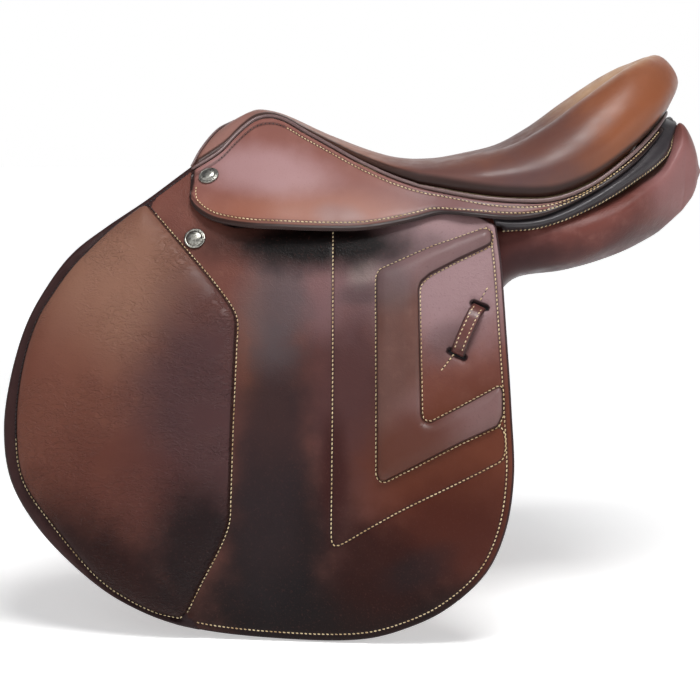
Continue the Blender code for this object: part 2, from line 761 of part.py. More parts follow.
FRONT_SEAM = [
    (-0.144, -0.347), (-0.163, -0.343), (-0.186, -0.333), (-0.212, -0.316), (-0.252, -0.272), (-0.278, -0.236),
    (-0.2845, -0.200), (-0.282, -0.150), (-0.270, -0.106), (-0.255, -0.081), (-0.241, -0.062), (-0.222, -0.043),
    (-0.206, -0.029), (-0.184, -0.013),
]
CHEVRON_OUTLINE = [
    (0.024, -0.224), (0.0245, -0.158), (0.0245, -0.097), (0.0245, -0.070), (0.030, -0.061), (0.063, -0.047),
    (0.088, -0.0385), (0.112, -0.0375), (0.120, -0.040), (0.117, -0.0455), (0.103, -0.051), (0.064, -0.069),
    (0.060, -0.076), (0.0605, -0.104), (0.0615, -0.142), (0.063, -0.178), (0.069, -0.183), (0.085, -0.174),
    (0.124, -0.155), (0.1285, -0.157), (0.128, -0.178), (0.115, -0.188), (0.073, -0.211), (0.046, -0.224),
    (0.030, -0.2305), (0.026, -0.229),
]


def smooth_outline(points, steps):
    flat = smooth_curve([(x, 0.0, z) for x, z in points], steps)
    return [(p.x, p.z) for p in flat]


def flap_curve():
    return to_height(smooth_outline(FLAP_OUTLINE, 3))


def clip_outline(points, height, above):
    """The part of a closed outline above or below a height."""
    out = []
    count = len(points)
    for k in range(count):
        a = points[k]
        b = points[(k + 1) % count]
        a_in = (a[1] > height) == above
        b_in = (b[1] > height) == above
        if a_in:
            out.append(a)
        if a_in != b_in:
            share = (height - a[1]) / (b[1] - a[1])
            out.append((a[0] + (b[0] - a[0]) * share, height))
    return out


def make_flap():
    whole = flap_curve() + FLAP_HIDDEN_TOP
    return plate(clip_outline(whole, FLAP_FOLD - FIT_GAP / 2, False), FLAP_OFFSET, FLAP_FACE)


def make_flap_head():
    whole = flap_curve() + FLAP_HIDDEN_TOP
    return plate(clip_outline(whole, FLAP_FOLD + FIT_GAP / 2, True), FLAP_OFFSET, FLAP_FACE)


def knee_outline():
    seam = smooth_outline(KNEE_SEAM, 2)
    front = smooth_outline(FRONT_SEAM, 2)
    return to_height(seam + front)


def make_knee_pad():
    whole = knee_outline()
    return pad(clip_outline(whole, FLAP_FOLD - FIT_GAP / 2, False), whole, PAD_OFFSET, KNEE_PAD_CROWN)


def make_knee_pad_top():
    whole = knee_outline()
    low = clip_outline(whole, FLAP_FOLD + FIT_GAP / 2, True)
    return pad(low, whole, PAD_OFFSET, KNEE_PAD_CROWN, rings=(0.004,))


def make_chevron_pad():
    outline = to_height(CHEVRON_OUTLINE)
    return pad(outline, outline, PAD_OFFSET, CHEVRON_CROWN, rings=(0.005,), columns=0.0)


# Sweat flap, blocks and panel

SWEAT_OUTLINE = [
    (-0.170, -0.012), (-0.210, -0.040), (-0.245, -0.080), (-0.262, -0.120), (-0.270, -0.180), (-0.262, -0.230),
    (-0.230, -0.275), (-0.180, -0.315), (-0.110, -0.336), (-0.030, -0.342), (0.030, -0.334), (0.080, -0.300),
    (0.108, -0.240), (0.114, -0.170), (0.116, -0.100), (0.116, -0.050), (0.112, -0.028), (0.060, -0.025),
    (0.0, -0.026), (-0.060, -0.028), (-0.120, -0.030), (-0.150, -0.020),
]
KNEE_BLOCK = [
    (-0.196, -0.085), (-0.222, -0.120), (-0.236, -0.165), (-0.232, -0.205), (-0.206, -0.235), (-0.188, -0.228),
    (-0.196, -0.190), (-0.194, -0.150), (-0.182, -0.110), (-0.180, -0.090),
]
CALF_BLOCK = [
    (0.085, -0.105), (0.103, -0.120), (0.105, -0.170), (0.099, -0.220), (0.084, -0.258), (0.072, -0.258),
    (0.078, -0.215), (0.079, -0.165), (0.075, -0.115),
]
BLOCK_HEIGHT = 0.0085
WEB_OUTLINE = [
    (-0.092, -0.033), (-0.092, -0.056), (0.054, -0.056), (0.060, -0.030), (0.060, 0.002), (-0.012, -0.001),
    (-0.018, -0.029),
]


def make_sweat_flap():
    outline = to_height(smooth_outline(SWEAT_OUTLINE, 2))
    return plate(outline, -SWEAT_FLAP_THICKNESS, 0.0)


def make_block(outline):
    curve = to_height(smooth_outline(outline, 2))
    return pad(curve, curve, FIT_GAP, BLOCK_HEIGHT, rings=(0.004,), columns=0.0)


def make_girth_web():
    return plate(to_height(WEB_OUTLINE), WEB_OFFSET, WEB_OFFSET + WEB_THICKNESS)


# Each rib: x, then y and z from the outer top round the bottom to the inner top
PANEL_RIBS = [
    (0.150, [(0.131, -0.016), (0.141, -0.036), (0.131, -0.056), (0.105, -0.064), (0.075, -0.066),
             (0.042, -0.057), (0.028, -0.036), (0.030, -0.016), (0.085, -0.019)]),
    (0.190, [(0.130, -0.010), (0.142, -0.028), (0.130, -0.048), (0.103, -0.058), (0.075, -0.060),
             (0.042, -0.051), (0.028, -0.028), (0.030, -0.006), (0.085, -0.013)]),
    (0.225, [(0.120, 0.002), (0.135, -0.014), (0.125, -0.036), (0.100, -0.048), (0.074, -0.051),
             (0.042, -0.043), (0.028, -0.016), (0.030, 0.010), (0.080, 0.000)]),
    (0.255, [(0.100, 0.019), (0.120, 0.005), (0.114, -0.017), (0.092, -0.035), (0.070, -0.040),
             (0.042, -0.034), (0.028, -0.004), (0.030, 0.024), (0.068, 0.020)]),
    (0.280, [(0.078, 0.035), (0.098, 0.025), (0.097, 0.003), (0.082, -0.016), (0.064, -0.027),
             (0.042, -0.021), (0.029, 0.010), (0.030, 0.038), (0.054, 0.039)]),
    (0.2980, [(0.063, 0.052), (0.081, 0.042), (0.080, 0.015), (0.070, -0.004), (0.058, -0.012),
              (0.043, -0.006), (0.031, 0.018), (0.031, 0.045), (0.045, 0.054)]),
    (0.3005, [(0.058, 0.062), (0.078, 0.048), (0.078, 0.018), (0.068, -0.001), (0.057, -0.010),
              (0.044, -0.003), (0.032, 0.020), (0.033, 0.051), (0.044, 0.063)]),
    (0.3027, [(0.055, 0.065), (0.074, 0.050), (0.076, 0.020), (0.067, 0.001), (0.056, -0.007),
              (0.044, -0.001), (0.033, 0.021), (0.034, 0.055), (0.044, 0.068)]),
    (0.3058, [(0.055, 0.060), (0.071, 0.048), (0.073, 0.022), (0.064, 0.005), (0.055, -0.001),
              (0.044, 0.004), (0.034, 0.022), (0.035, 0.051), (0.044, 0.062)]),
    (0.3090, [(0.055, 0.052), (0.068, 0.044), (0.069, 0.024), (0.062, 0.009), (0.054, 0.004),
              (0.044, 0.008), (0.036, 0.024), (0.036, 0.044), (0.045, 0.053)]),
    (0.3118, [(0.055, 0.044), (0.064, 0.038), (0.065, 0.025), (0.059, 0.014), (0.053, 0.010),
              (0.045, 0.013), (0.039, 0.025), (0.039, 0.037), (0.046, 0.044)]),
    (0.3135, [(0.054, 0.036), (0.058, 0.033), (0.058, 0.027), (0.055, 0.022), (0.051, 0.020),
              (0.047, 0.022), (0.043, 0.027), (0.043, 0.033), (0.046, 0.036)]),
]
PANEL_FRONT = [
    (-0.142, 0.016, -0.088, 0.016),
    (-0.110, 0.022, -0.118, 0.026),
    (-0.050, 0.014, -0.118, 0.032),
    (0.010, -0.004, -0.112, 0.036),
    (0.070, -0.016, -0.096, 0.042),
    (0.115, -0.022, -0.080, 0.050),
]
PANEL_CHANNEL = 0.028
PANEL_REST = 0.0007            # room for the panel's own bend between its ribs
PANEL_FREE = 0.125             # behind the sweat flap it is free to swell


def panel_offset(x, height):
    """Outer face of the panel in front: inside the tree points, then out to the sweat flap."""
    clear = POINT_OFFSET - POINT_THICKNESS - PANEL_REST
    share = min(1.0, max(0.0, (-0.083 - height) / 0.02))
    if x > -0.010:
        share = max(share, min(1.0, (x + 0.010) / 0.05))
    return clear + (POINT_OFFSET - PANEL_REST - clear) * share


def panel_outer(x, z):
    height = z - fold_line(x)
    point = smooth_side_point(x, height, panel_offset(x, height))
    return point.y, point.z


def panel_limit(x, z):
    """Half width that the panel keeps within at a height."""
    y, level = panel_outer(x, z)
    height = z - fold_line(x)
    slope = SIDE_LEAN + height / (SHOULDER_RADIUS if height > 0 else BARREL_RADIUS)
    return y - slope * (z - level)


def panel_front_rib(x, top, bottom, thick):
    """Section of the panel under the flap: a pad that follows the side."""
    outer = [panel_outer(x, top + (bottom - top) * share) for share in (0.0, 0.33, 0.66, 1.0)]
    low = outer[-1]
    inner = [
        (low[0] - thick * 0.55, low[1] - 0.004),
        (outer[2][0] - thick, outer[2][1] - thick * 0.35),
        (outer[1][0] - thick, outer[1][1] - thick * 0.35),
        (max(PANEL_CHANNEL, outer[0][0] - thick * 1.15), top - 0.012),
        (max(PANEL_CHANNEL + 0.010, outer[0][0] - thick * 0.55), top + 0.001),
    ]
    return outer + inner


def make_panel():
    ribs = [(x, panel_front_rib(x, top, bottom, thick)) for x, top, bottom, thick in PANEL_FRONT]
    ribs += PANEL_RIBS
    loops = [[Vector((x, y, z)) for y, z in points] for x, points in ribs]
    count = len(loops[0])
    columns = [smooth_curve([loop[k] for loop in loops], 2) for k in range(count)]
    sections = [[column[i] for column in columns] for i in range(len(columns[0]))]
    smooth = [smooth_curve(section, 2, closed=True) for section in sections]
    for section in smooth:
        for point in section:
            if point.x < PANEL_FREE:
                point.y = min(point.y, panel_limit(point.x, point.z))
    return tube_of_sections(smooth)


def tube_of_sections(sections):
    """Closed solid through a row of closed sections, with flat ends."""
    bm = bmesh.new()
    rings = [[bm.verts.new(p) for p in section] for section in sections]
    count = len(rings[0])
    for a, b in zip(rings, rings[1:]):
        for k in range(count):
            n = (k + 1) % count
            bm.faces.new([a[k], a[n], b[n], b[k]])
    bm.faces.new(list(reversed(rings[0])))
    bm.faces.new(rings[-1])
    return bm


FACING_EDGE = [
    (0.133, 0.1385, -0.023), (0.159, 0.139, -0.021), (0.184, 0.138, -0.014), (0.208, 0.133, -0.004),
    (0.223, 0.128, 0.0035), (0.2365, 0.122, 0.011), (0.250, 0.114, 0.0195), (0.2635, 0.104, 0.0275),
    (0.2755, 0.093, 0.0355), (0.286, 0.079, 0.0445), (0.292, 0.065, 0.0515), (0.2965, 0.049, 0.057),
    (0.299, 0.027, 0.0635), (0.300, 0.0, 0.068),
]
FACING_FRONT = 0.122
FACING_THICKNESS = 0.004
FACING_CROWN = 0.0035
FACING_TUCK = 0.0008
FACING_OVERLAP = 0.003
FACING_LIFT = 0.0045            # above the skirt's top edge, so that no light shows beside the welt
FACING_RISE = 8                # stations before the skirts' end where it starts to go up behind them


def make_facing():
    """Padded band between the skirt and the panels, round the back from side to side."""
    skirt_rows, normals = skirt_rear_rows()
    behind = [k for k, row in enumerate(skirt_rows) if row[-1].x > FACING_FRONT]
    edge = even_curve(FACING_EDGE, len(behind))
    rows = []
    for low, k in zip(edge, behind):
        hem = skirt_rows[k][-1]
        up = (skirt_rows[k][-2] - hem).normalized()
        normal = normals[k][-1]
        past = k - (REAR_STATIONS - SKIRT_SHORT)
        bare = min(1.0, max(0.0, past / 2))
        rise = min(1.0, max(0.0, (past + FACING_RISE) / 2))
        hidden = rise * (1.0 - bare)
        inset = FACING_TUCK + SKIRT_THICKNESS * (1.0 - bare)
        high = (hem + up * FACING_OVERLAP).lerp(skirt_rows[k][0], rise) - normal * (inset + FACING_LIFT * 0.7 * hidden)
        high.z += FACING_LIFT * hidden
        below = hem - normal * inset - up * 0.001
        outward = Vector((normal.x, normal.y, 0.0)).normalized()
        middle = below.lerp(low, 0.4) + outward * FACING_CROWN
        lower = below.lerp(low, 0.8) + outward * FACING_CROWN * 0.7
        rows.append([high, below, middle, lower, low])
    for point in rows[-1]:
        point.y = 0.0
    whole = rows + [mirrored(row) for row in reversed(rows[:-1])]
    directions = grid_normals(whole)
    inner = [[p - n * FACING_THICKNESS for p, n in zip(a, b)] for a, b in zip(whole, directions)]
    return shell(whole, inner)


# Leather over the front of the arch

ARCH_THICKNESS = 0.0022
ARCH_GAP = 0.0008


def make_arch_facing():
    """Leather band over the front edges of seat and tree, from side to side."""
    top = seat_half(cover_ribs())[0]
    low = seat_half(tree_ribs())[0]
    drop = Vector((0, 0, -(TREE_THICKNESS + WEBBING_THICKNESS + 0.003)))
    rows = [[a, a.lerp(b, 0.5), b, b + drop] for a, b in zip(top, low)]
    whole = rows + [mirrored(row) for row in reversed(rows[:-1])]
    directions = grid_normals(whole)
    outer = []
    inner = []
    for row, normals in zip(whole, directions):
        ahead = [n if n.x < 0 else -n for n in normals]
        outer.append([p + n * (ARCH_GAP + ARCH_THICKNESS) for p, n in zip(row, ahead)])
        inner.append([p + n * ARCH_GAP for p, n in zip(row, ahead)])
    return shell(outer, inner)


# Girth straps

def strap_outline(centre):
    half = STRAP_WIDTH / 2
    top = STRAP_TOP
    low = STRAP_TOP - STRAP_LENGTH
    return [
        (centre - half, top), (centre - half, low + STRAP_TIP), (centre - half * 0.4, low),
        (centre + half * 0.4, low), (centre + half, low + STRAP_TIP), (centre + half, top),
    ]


def make_strap(centre):
    return plate(strap_outline(centre), STRAP_OFFSET, STRAP_OFFSET + STRAP_THICKNESS)


def punch_holes(strap, centre, mirror):
    """Buckle holes through a girth strap."""
    first = STRAP_TOP - STRAP_LENGTH + STRAP_TIP + 0.012
    for k in range(STRAP_HOLES):
        height = first + STRAP_HOLE_PITCH * k
        middle = side_point(centre, height, STRAP_OFFSET + STRAP_THICKNESS / 2)
        reach = side_normal(centre, height) * STRAP_THICKNESS * 2
        pin = round_bar(middle - reach, middle + reach, STRAP_HOLE_RADIUS, 8)
        combine(strap, mirrored_mesh(pin, mirror), "DIFFERENCE")


def round_bar(start, end, radius, sides):
    """Closed cylinder between two points."""
    axis = (end - start).normalized()
    turn = axis.to_track_quat("Z", "Y").to_matrix().to_4x4()
    bm = bmesh.new()
    place = Matrix.Translation((start + end) / 2) @ turn
    bmesh.ops.create_cone(bm, cap_ends=True, segments=sides, radius1=radius, radius2=radius,
                          depth=(end - start).length, matrix=place)
    return bm


def strap_pivot(centre):
    return side_point(centre, STRAP_TOP, STRAP_OFFSET + STRAP_THICKNESS / 2)


# Studs, stirrup bar, keeper

def make_stud(point, normal, radius):
    """A domed nail head with a rolled rim."""
    profile = [(0.0, 0.0), (radius, 0.0), (radius, 0.0012), (radius * 0.9, 0.0019), (radius * 0.82, 0.0016)]
    dome_radius = radius * 0.80
    for k in range(4):
        angle = math.pi / 2 * k / 3
        profile.append((dome_radius * math.cos(angle), 0.0016 + (STUD_RISE - 0.0016) * math.sin(angle)))
    profile[-1] = (0.0, STUD_RISE)
    bm = bmesh.new()
    verts = [bm.verts.new((r, 0.0, z)) for r, z in profile]
    edges = [bm.edges.new((a, b)) for a, b in zip(verts, verts[1:])]
    bmesh.ops.spin(bm, geom=verts + edges, cent=(0, 0, 0), axis=(0, 0, 1), angle=math.tau, steps=14,
                   use_merge=True, use_duplicate=False)
    bmesh.ops.remove_doubles(bm, verts=bm.verts, dist=1e-6)
    turn = normal.to_track_quat("Z", "Y").to_matrix().to_4x4()
    bmesh.ops.transform(bm, matrix=Matrix.Translation(point) @ turn, verts=bm.verts)
    return bm


def skirt_stud():
    x, h = SKIRT_STUD_AT
    reach = SKIRT_STUD_RADIUS / 2
    along = skirt_point(x + reach, h, SKIRT_THICKNESS) - skirt_point(x - reach, h, SKIRT_THICKNESS)
    up = skirt_point(x, h + reach, SKIRT_THICKNESS) - skirt_point(x, h - reach, SKIRT_THICKNESS)
    normal = up.cross(along).normalized()
    return make_stud(skirt_point(x, h, SKIRT_THICKNESS) + normal * STUD_SEAT, normal, SKIRT_STUD_RADIUS)


def flap_stud():
    x, h = FLAP_STUD_AT
    return make_stud(side_point(x, h, FLAP_FACE + STUD_SEAT), side_normal(x, h), FLAP_STUD_RADIUS)


def side_box(x0, x1, h0, h1, inner, outer):
    """A block on the side, from four edges and two offsets."""
    outline = [(x0, h0), (x1, h0), (x1, h1), (x0, h1)]
    return plate(outline, inner, outer)


def add_stirrup_bar(side, mirror):
    """Plate on the tree, an arm out at its front, and the bar that runs back from the arm."""
    low = BAR_HEIGHT - BAR_WIDTH / 2
    high = BAR_HEIGHT + BAR_WIDTH / 2
    plate_outer = BAR_PLATE_OFFSET + BAR_PLATE_THICKNESS
    sunk = BAR_PLATE_THICKNESS / 4
    back = [(BAR_FRONT - 0.002, low - 0.004), (BAR_REAR - 0.006, low - 0.004), (BAR_REAR, high - 0.002),
            (BAR_FRONT - 0.002, high + 0.006)]
    block = side_box(BAR_FRONT, BAR_REAR, low, high, plate_outer - sunk, BAR_OFFSET + BAR_THICKNESS)
    leather_way = side_box(BAR_FRONT + BAR_ARM_LENGTH, BAR_REAR + 0.01, low - 0.01, high + 0.01,
                           plate_outer - 2 * sunk, BAR_OFFSET)
    body = add_part("stirrup_bar_" + side, mirrored_mesh(block, mirror), STEEL)
    combine(body, mirrored_mesh(leather_way, mirror), "DIFFERENCE")
    middle = BAR_OFFSET + BAR_THICKNESS / 2
    half = CATCH_THICKNESS / 2 + FIT_GAP
    slot = side_box(BAR_REAR - 0.012, BAR_REAR + 0.002, BAR_HEIGHT - 0.02, BAR_HEIGHT + 0.02,
                    middle - half, middle + half)
    combine(body, mirrored_mesh(slot, mirror), "DIFFERENCE")
    hole = round_bar(catch_pivot(-0.010), catch_pivot(0.010), CATCH_PIN_RADIUS + FIT_GAP / 2, 14)
    combine(body, mirrored_mesh(hole, mirror), "DIFFERENCE")
    combine(body, mirrored_mesh(plate(back, BAR_PLATE_OFFSET, plate_outer), mirror), "UNION")


def mirrored_mesh(bm, mirror):
    bmesh.ops.scale(bm, verts=bm.verts, vec=(1.0, mirror, 1.0))
    return bm


def combine(target, bm, operation):
    """Adds or cuts a bmesh for good."""
    tool = add_part("tool", bm, STEEL)
    boolean = target.modifiers.new("combine", "BOOLEAN")
    boolean.operation = operation
    boolean.solver = "EXACT"
    boolean.object = tool
    bpy.context.view_layer.update()
    graph = bpy.context.evaluated_depsgraph_get()
    mesh = bpy.data.meshes.new_from_object(target.evaluated_get(graph))
    target.modifiers.clear()
    target.data = mesh
    bpy.data.objects.remove(tool)


def catch_pivot(lift=0.0):
    """Centre of the catch's pin, or a point along it."""
    return side_point(BAR_REAR - 0.006, BAR_HEIGHT, BAR_OFFSET + BAR_THICKNESS / 2 + lift)


def make_catch():
    """Tongue of the safety catch, in line with the bar, with an eye round its pin."""
    start = catch_pivot()
    normal = side_normal(BAR_REAR, BAR_HEIGHT)
    along = (side_point(BAR_REAR + 0.01, BAR_HEIGHT, 0) - side_point(BAR_REAR, BAR_HEIGHT, 0)).normalized()
    up = normal.cross(along)
    if up.z < 0:
        up = -up
    hole = CATCH_PIN_RADIUS + FIT_GAP / 2
    eye = 0.0045
    half_width = 0.0042
    inner_ring = [(hole * math.cos(math.tau * k / 14), hole * math.sin(math.tau * k / 14)) for k in range(14)]
    bm = bmesh.new()
    outer_ring = []
    for k in range(14):
        angle = math.tau * k / 14
        ca, sa = math.cos(angle), math.sin(angle)
        if ca > 0.55:
            outer_ring.append((CATCH_LENGTH * (0.82 + 0.18 * ca), half_width * sa / max(abs(sa), 0.35)))
        else:
            outer_ring.append((eye * ca, eye * sa))
    layers = []
    for lift in (-CATCH_THICKNESS / 2, CATCH_THICKNESS / 2):
        base = start + normal * lift
        layers.append([
            [bm.verts.new(base + along * u + up * v) for u, v in inner_ring],
            [bm.verts.new(base + along * u + up * v) for u, v in outer_ring],
        ])
    count = len(inner_ring)
    for k in range(count):
        n = (k + 1) % count
        (ia, oa), (ib, ob) = layers
        bm.faces.new([ia[k], ia[n], oa[n], oa[k]])
        bm.faces.new([ib[k], ob[k], ob[n], ib[n]])
        bm.faces.new([oa[k], oa[n], ob[n], ob[k]])
        bm.faces.new([ia[n], ia[k], ib[k], ib[n]])
    return bm


def make_catch_pin():
    half = BAR_THICKNESS / 2
    return round_bar(catch_pivot(-half), catch_pivot(half), CATCH_PIN_RADIUS, 14)


def make_rivet(x):
    """Head of one rivet on the plate of the stirrup bar."""
    face = BAR_PLATE_OFFSET + BAR_PLATE_THICKNESS + FIT_GAP
    return round_bar(side_point(x, BAR_HEIGHT, face), side_point(x, BAR_HEIGHT, face + RIVET_RISE), RIVET_RADIUS, 12)


def make_keeper():
    """Strap loop that stands off the flap between its two sewn ends."""
    top = Vector((KEEPER_TOP[0], 0.0, KEEPER_TOP[1] - fold_line(KEEPER_TOP[0])))
    end = Vector((KEEPER_END[0], 0.0, KEEPER_END[1] - fold_line(KEEPER_END[0])))
    along = end - top
    across = Vector((along.z, 0.0, -along.x)).normalized() * (KEEPER_WIDTH / 2)
    shape = [(0.0, 0.0), (0.10, 0.0), (0.17, 0.75), (0.28, 1.0), (0.5, 1.06), (0.72, 1.0), (0.83, 0.75),
             (0.90, 0.0), (1.0, 0.0)]
    outer = []
    inner = []
    for share, lift in shape:
        middle = top + along * share
        edge = [middle - across, middle + across]
        base = PAD_OFFSET + KEEPER_RISE * lift
        inner.append([side_point(p.x, p.z, base) for p in edge])
        outer.append([side_point(p.x, p.z, base + KEEPER_THICKNESS) for p in edge])
    return shell(outer, inner)


def make_welt():
    """Piping between seat and skirt, from one stud round the back to the other."""
    half = welt_line()
    path = mirrored(half[:-1]) + list(reversed(half))
    sections = []
    for k, point in enumerate(path):
        along = run_of(path, k)
        side = along.cross(Vector((0, 0, 1))).normalized()
        up = side.cross(along)
        turns = [math.tau * step / WELT_SIDES for step in range(WELT_SIDES)]
        sections.append([point + (side * math.cos(a) + up * math.sin(a)) * WELT_RADIUS for a in turns])
    return tube_of_sections(sections)


def axis_points():
    """Points on the joint axes, for the origins of the moving pieces."""
    crown_top = PAD_OFFSET + KNEE_PAD_CROWN + FLAP_AXIS_CLEARANCE
    flap = smooth_side_point(-0.060, FLAP_FOLD, crown_top)
    ends = [skirt_point(*end, SKIRT_THICKNESS + SKIRT_AXIS_CLEARANCE) for end in (SKIRT_FOLD_FRONT, SKIRT_FOLD_REAR)]
    return flap, (ends[0] + ends[1]) / 2


def make_straps():
    for side, mirror in (("right", 1.0), ("left", -1.0)):
        for name, centre, hung_at in (
            ("girth_strap_front", STRAP_FRONT_AT, STRAP_FRONT_AT),
            ("girth_strap_middle", STRAP_MIDDLE_AT, (STRAP_MIDDLE_AT + STRAP_REAR_AT) / 2),
            ("girth_strap_rear", STRAP_REAR_AT, (STRAP_MIDDLE_AT + STRAP_REAR_AT) / 2),
        ):
            bm = make_strap(centre)
            bmesh.ops.scale(bm, verts=bm.verts, vec=(1.0, mirror, 1.0))
            strap = add_part(name + "_" + side, bm, STRAP_LEATHER)
            punch_holes(strap, centre, mirror)
            pivot = strap_pivot(hung_at)
            move_origin(strap, Vector((pivot.x, pivot.y * mirror, pivot.z)))


def move_origin(made, point):
    made.data.transform(Matrix.Translation(-point))
    made.location = point


def main():
    for old in list(bpy.data.objects):
        bpy.data.objects.remove(old)
    flap_axis, skirt_axis = axis_points()
    make_seat()
    add_part("seat_welt", make_welt(), DARK_LEATHER, smooth=True)
    add_part("arch_facing", make_arch_facing(), SEAT_LEATHER, smooth=True)
    add_part("panel_facing", make_facing(), DARK_LEATHER, smooth=True)
    add_pair("skirt", make_skirt, SKIRT_LEATHER, smooth=True)
    add_pair("skirt_lobe", make_skirt_lobe, SKIRT_LEATHER, origin=skirt_axis)
    add_pair("skirt_stud", skirt_stud, SILVER, smooth=True)
    add_pair("flap_head", make_flap_head, FLAP_LEATHER)
    add_pair("knee_pad_top", make_knee_pad_top, CALF_LEATHER, smooth=True)
    add_pair("flap_stud", flap_stud, SILVER, smooth=True)
    add_pair("flap", make_flap, FLAP_LEATHER, origin=flap_axis)
    add_pair("knee_pad", make_knee_pad, CALF_LEATHER, origin=flap_axis, smooth=True)
    add_pair("chevron_pad", make_chevron_pad, CALF_LEATHER, origin=flap_axis, smooth=True)
    add_pair("flap_keeper", make_keeper, STRAP_LEATHER, origin=flap_axis)
    add_pair("sweat_flap", make_sweat_flap, FLAP_LEATHER)
    add_pair("knee_block", lambda: make_block(KNEE_BLOCK), CALF_LEATHER)
    add_pair("calf_block", lambda: make_block(CALF_BLOCK), CALF_LEATHER)
    add_pair("girth_web", make_girth_web, WEBBING)
    add_pair("panel", make_panel, PANEL_LEATHER, smooth=True)
    add_stirrup_bar("right", 1.0)
    add_stirrup_bar("left", -1.0)
    add_pair("bar_rivet_front", lambda: make_rivet(BAR_FRONT + RIVET_INSET), STEEL)
    add_pair("bar_rivet_rear", lambda: make_rivet(BAR_REAR - RIVET_INSET), STEEL)
    add_pair("stirrup_catch", make_catch, STEEL, origin=catch_pivot())
    add_pair("catch_pin", make_catch_pin, STEEL)
    make_straps()


main()
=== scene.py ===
"""Dresses the English jumping saddle: leather, stitching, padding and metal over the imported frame.

Metres, +Z up, +X towards the cantle, the near side is -Y, as in the frame.
"""

import math

import bmesh
import bpy
import numpy as np
from bpy.props import FloatProperty, FloatVectorProperty, PointerProperty
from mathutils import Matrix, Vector
from mathutils.geometry import delaunay_2d_cdt


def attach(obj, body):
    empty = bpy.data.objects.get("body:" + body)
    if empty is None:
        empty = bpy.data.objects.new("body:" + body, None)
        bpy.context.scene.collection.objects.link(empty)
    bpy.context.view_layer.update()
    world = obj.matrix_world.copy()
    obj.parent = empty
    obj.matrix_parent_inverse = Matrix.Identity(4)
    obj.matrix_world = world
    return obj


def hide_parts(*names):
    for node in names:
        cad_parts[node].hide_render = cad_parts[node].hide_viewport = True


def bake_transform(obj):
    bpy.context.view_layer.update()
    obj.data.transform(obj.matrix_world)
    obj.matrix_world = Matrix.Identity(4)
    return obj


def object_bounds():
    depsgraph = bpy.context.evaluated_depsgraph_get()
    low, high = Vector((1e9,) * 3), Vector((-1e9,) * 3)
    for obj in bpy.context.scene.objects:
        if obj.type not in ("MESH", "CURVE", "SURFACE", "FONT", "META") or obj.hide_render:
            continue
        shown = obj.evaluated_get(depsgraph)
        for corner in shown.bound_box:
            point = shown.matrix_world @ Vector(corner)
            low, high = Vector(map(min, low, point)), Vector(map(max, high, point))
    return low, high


bl_info = {
    "name": "English jumping saddle",
    "version": (1, 0, 0),
    "blender": (4, 5, 0),
    "location": "View3D > Sidebar > Saddle",
    "description": "Builds the leather, stitching, padding and metal of a jumping saddle over its frame",
    "category": "Object",
}

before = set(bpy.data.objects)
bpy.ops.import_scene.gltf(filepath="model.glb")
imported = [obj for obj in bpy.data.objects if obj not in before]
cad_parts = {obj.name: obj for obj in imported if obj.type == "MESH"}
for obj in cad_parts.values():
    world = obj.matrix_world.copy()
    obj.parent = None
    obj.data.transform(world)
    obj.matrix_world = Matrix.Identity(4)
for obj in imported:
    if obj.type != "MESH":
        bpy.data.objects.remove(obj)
CAD_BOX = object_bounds()
SIDES = (("right", 1.0), ("left", -1.0))

# The side surface and the layers on it, as in the frame
FOLD_HEIGHT = -0.0365
FOLD_RISE = 0.0625
FOLD_HALF_WIDTH = 0.1276
FOLD_SPLAY = 0.111
SIDE_LEAN = 0.526
BARREL_RADIUS = 0.532
SHOULDER_RADIUS = 0.167
SWEAT_FLAP_THICKNESS = 0.004
WEB_OFFSET = 0.0004
WEB_THICKNESS = 0.0016
STRAP_OFFSET = 0.0024
STRAP_THICKNESS = 0.0035
FLAP_OFFSET = 0.0093
FLAP_THICKNESS = 0.005
FLAP_FACE = FLAP_OFFSET + FLAP_THICKNESS
PAD_OFFSET = FLAP_FACE + 0.0003
SKIRT_OFFSET = FLAP_FACE + 0.0006
SKIRT_THICKNESS = 0.0035
SKIRT_REST = 0.012
SKIRT_STAND_OFF = 0.13
WELT_RADIUS = 0.0018
WELT_OFFSET = SKIRT_OFFSET + SKIRT_THICKNESS / 2
WELT_GAP = WELT_RADIUS + 0.0005

# Sewing: how far rows of stitches lie from an edge, and how deep they sink
HEM_STITCHES = 0.0062
WELT_STITCHES = 0.0055
STITCH_DEPTH = 0.0003

# Distance between points along the outline of a cut sheet
SHEET_SPACING = 0.0022


def fold_line(x):
    """Height of the line along which the side bends, at a place along the saddle."""
    return FOLD_HEIGHT + FOLD_RISE * x


def unit(vectors):
    """The same directions, each of length one."""
    return vectors / np.maximum(np.linalg.norm(vectors, axis=-1, keepdims=True), 1e-12)


def side_points(flat, offset):
    """Points over the side surface, from x, height above the bending line and a distance outwards."""
    x, h = flat[:, 0], flat[:, 1]
    radius = np.where(h > 0, SHOULDER_RADIUS, BARREL_RADIUS)
    slope = SIDE_LEAN + h / radius
    half = FOLD_HALF_WIDTH + FOLD_SPLAY * x - SIDE_LEAN * h - h * h / (2 * radius)
    normal = np.stack([-(FOLD_SPLAY + slope * FOLD_RISE), np.ones(len(x)), slope], -1)
    on_surface = np.stack([x, half, fold_line(x) + h], -1)
    return on_surface + unit(normal) * np.broadcast_to(offset, x.shape)[:, None]


def to_height(points):
    """Measured x and z as x and height above the bending line."""
    pts = np.array(points, float)
    return np.stack([pts[:, 0], pts[:, 1] - fold_line(pts[:, 0])], -1)


# Curves

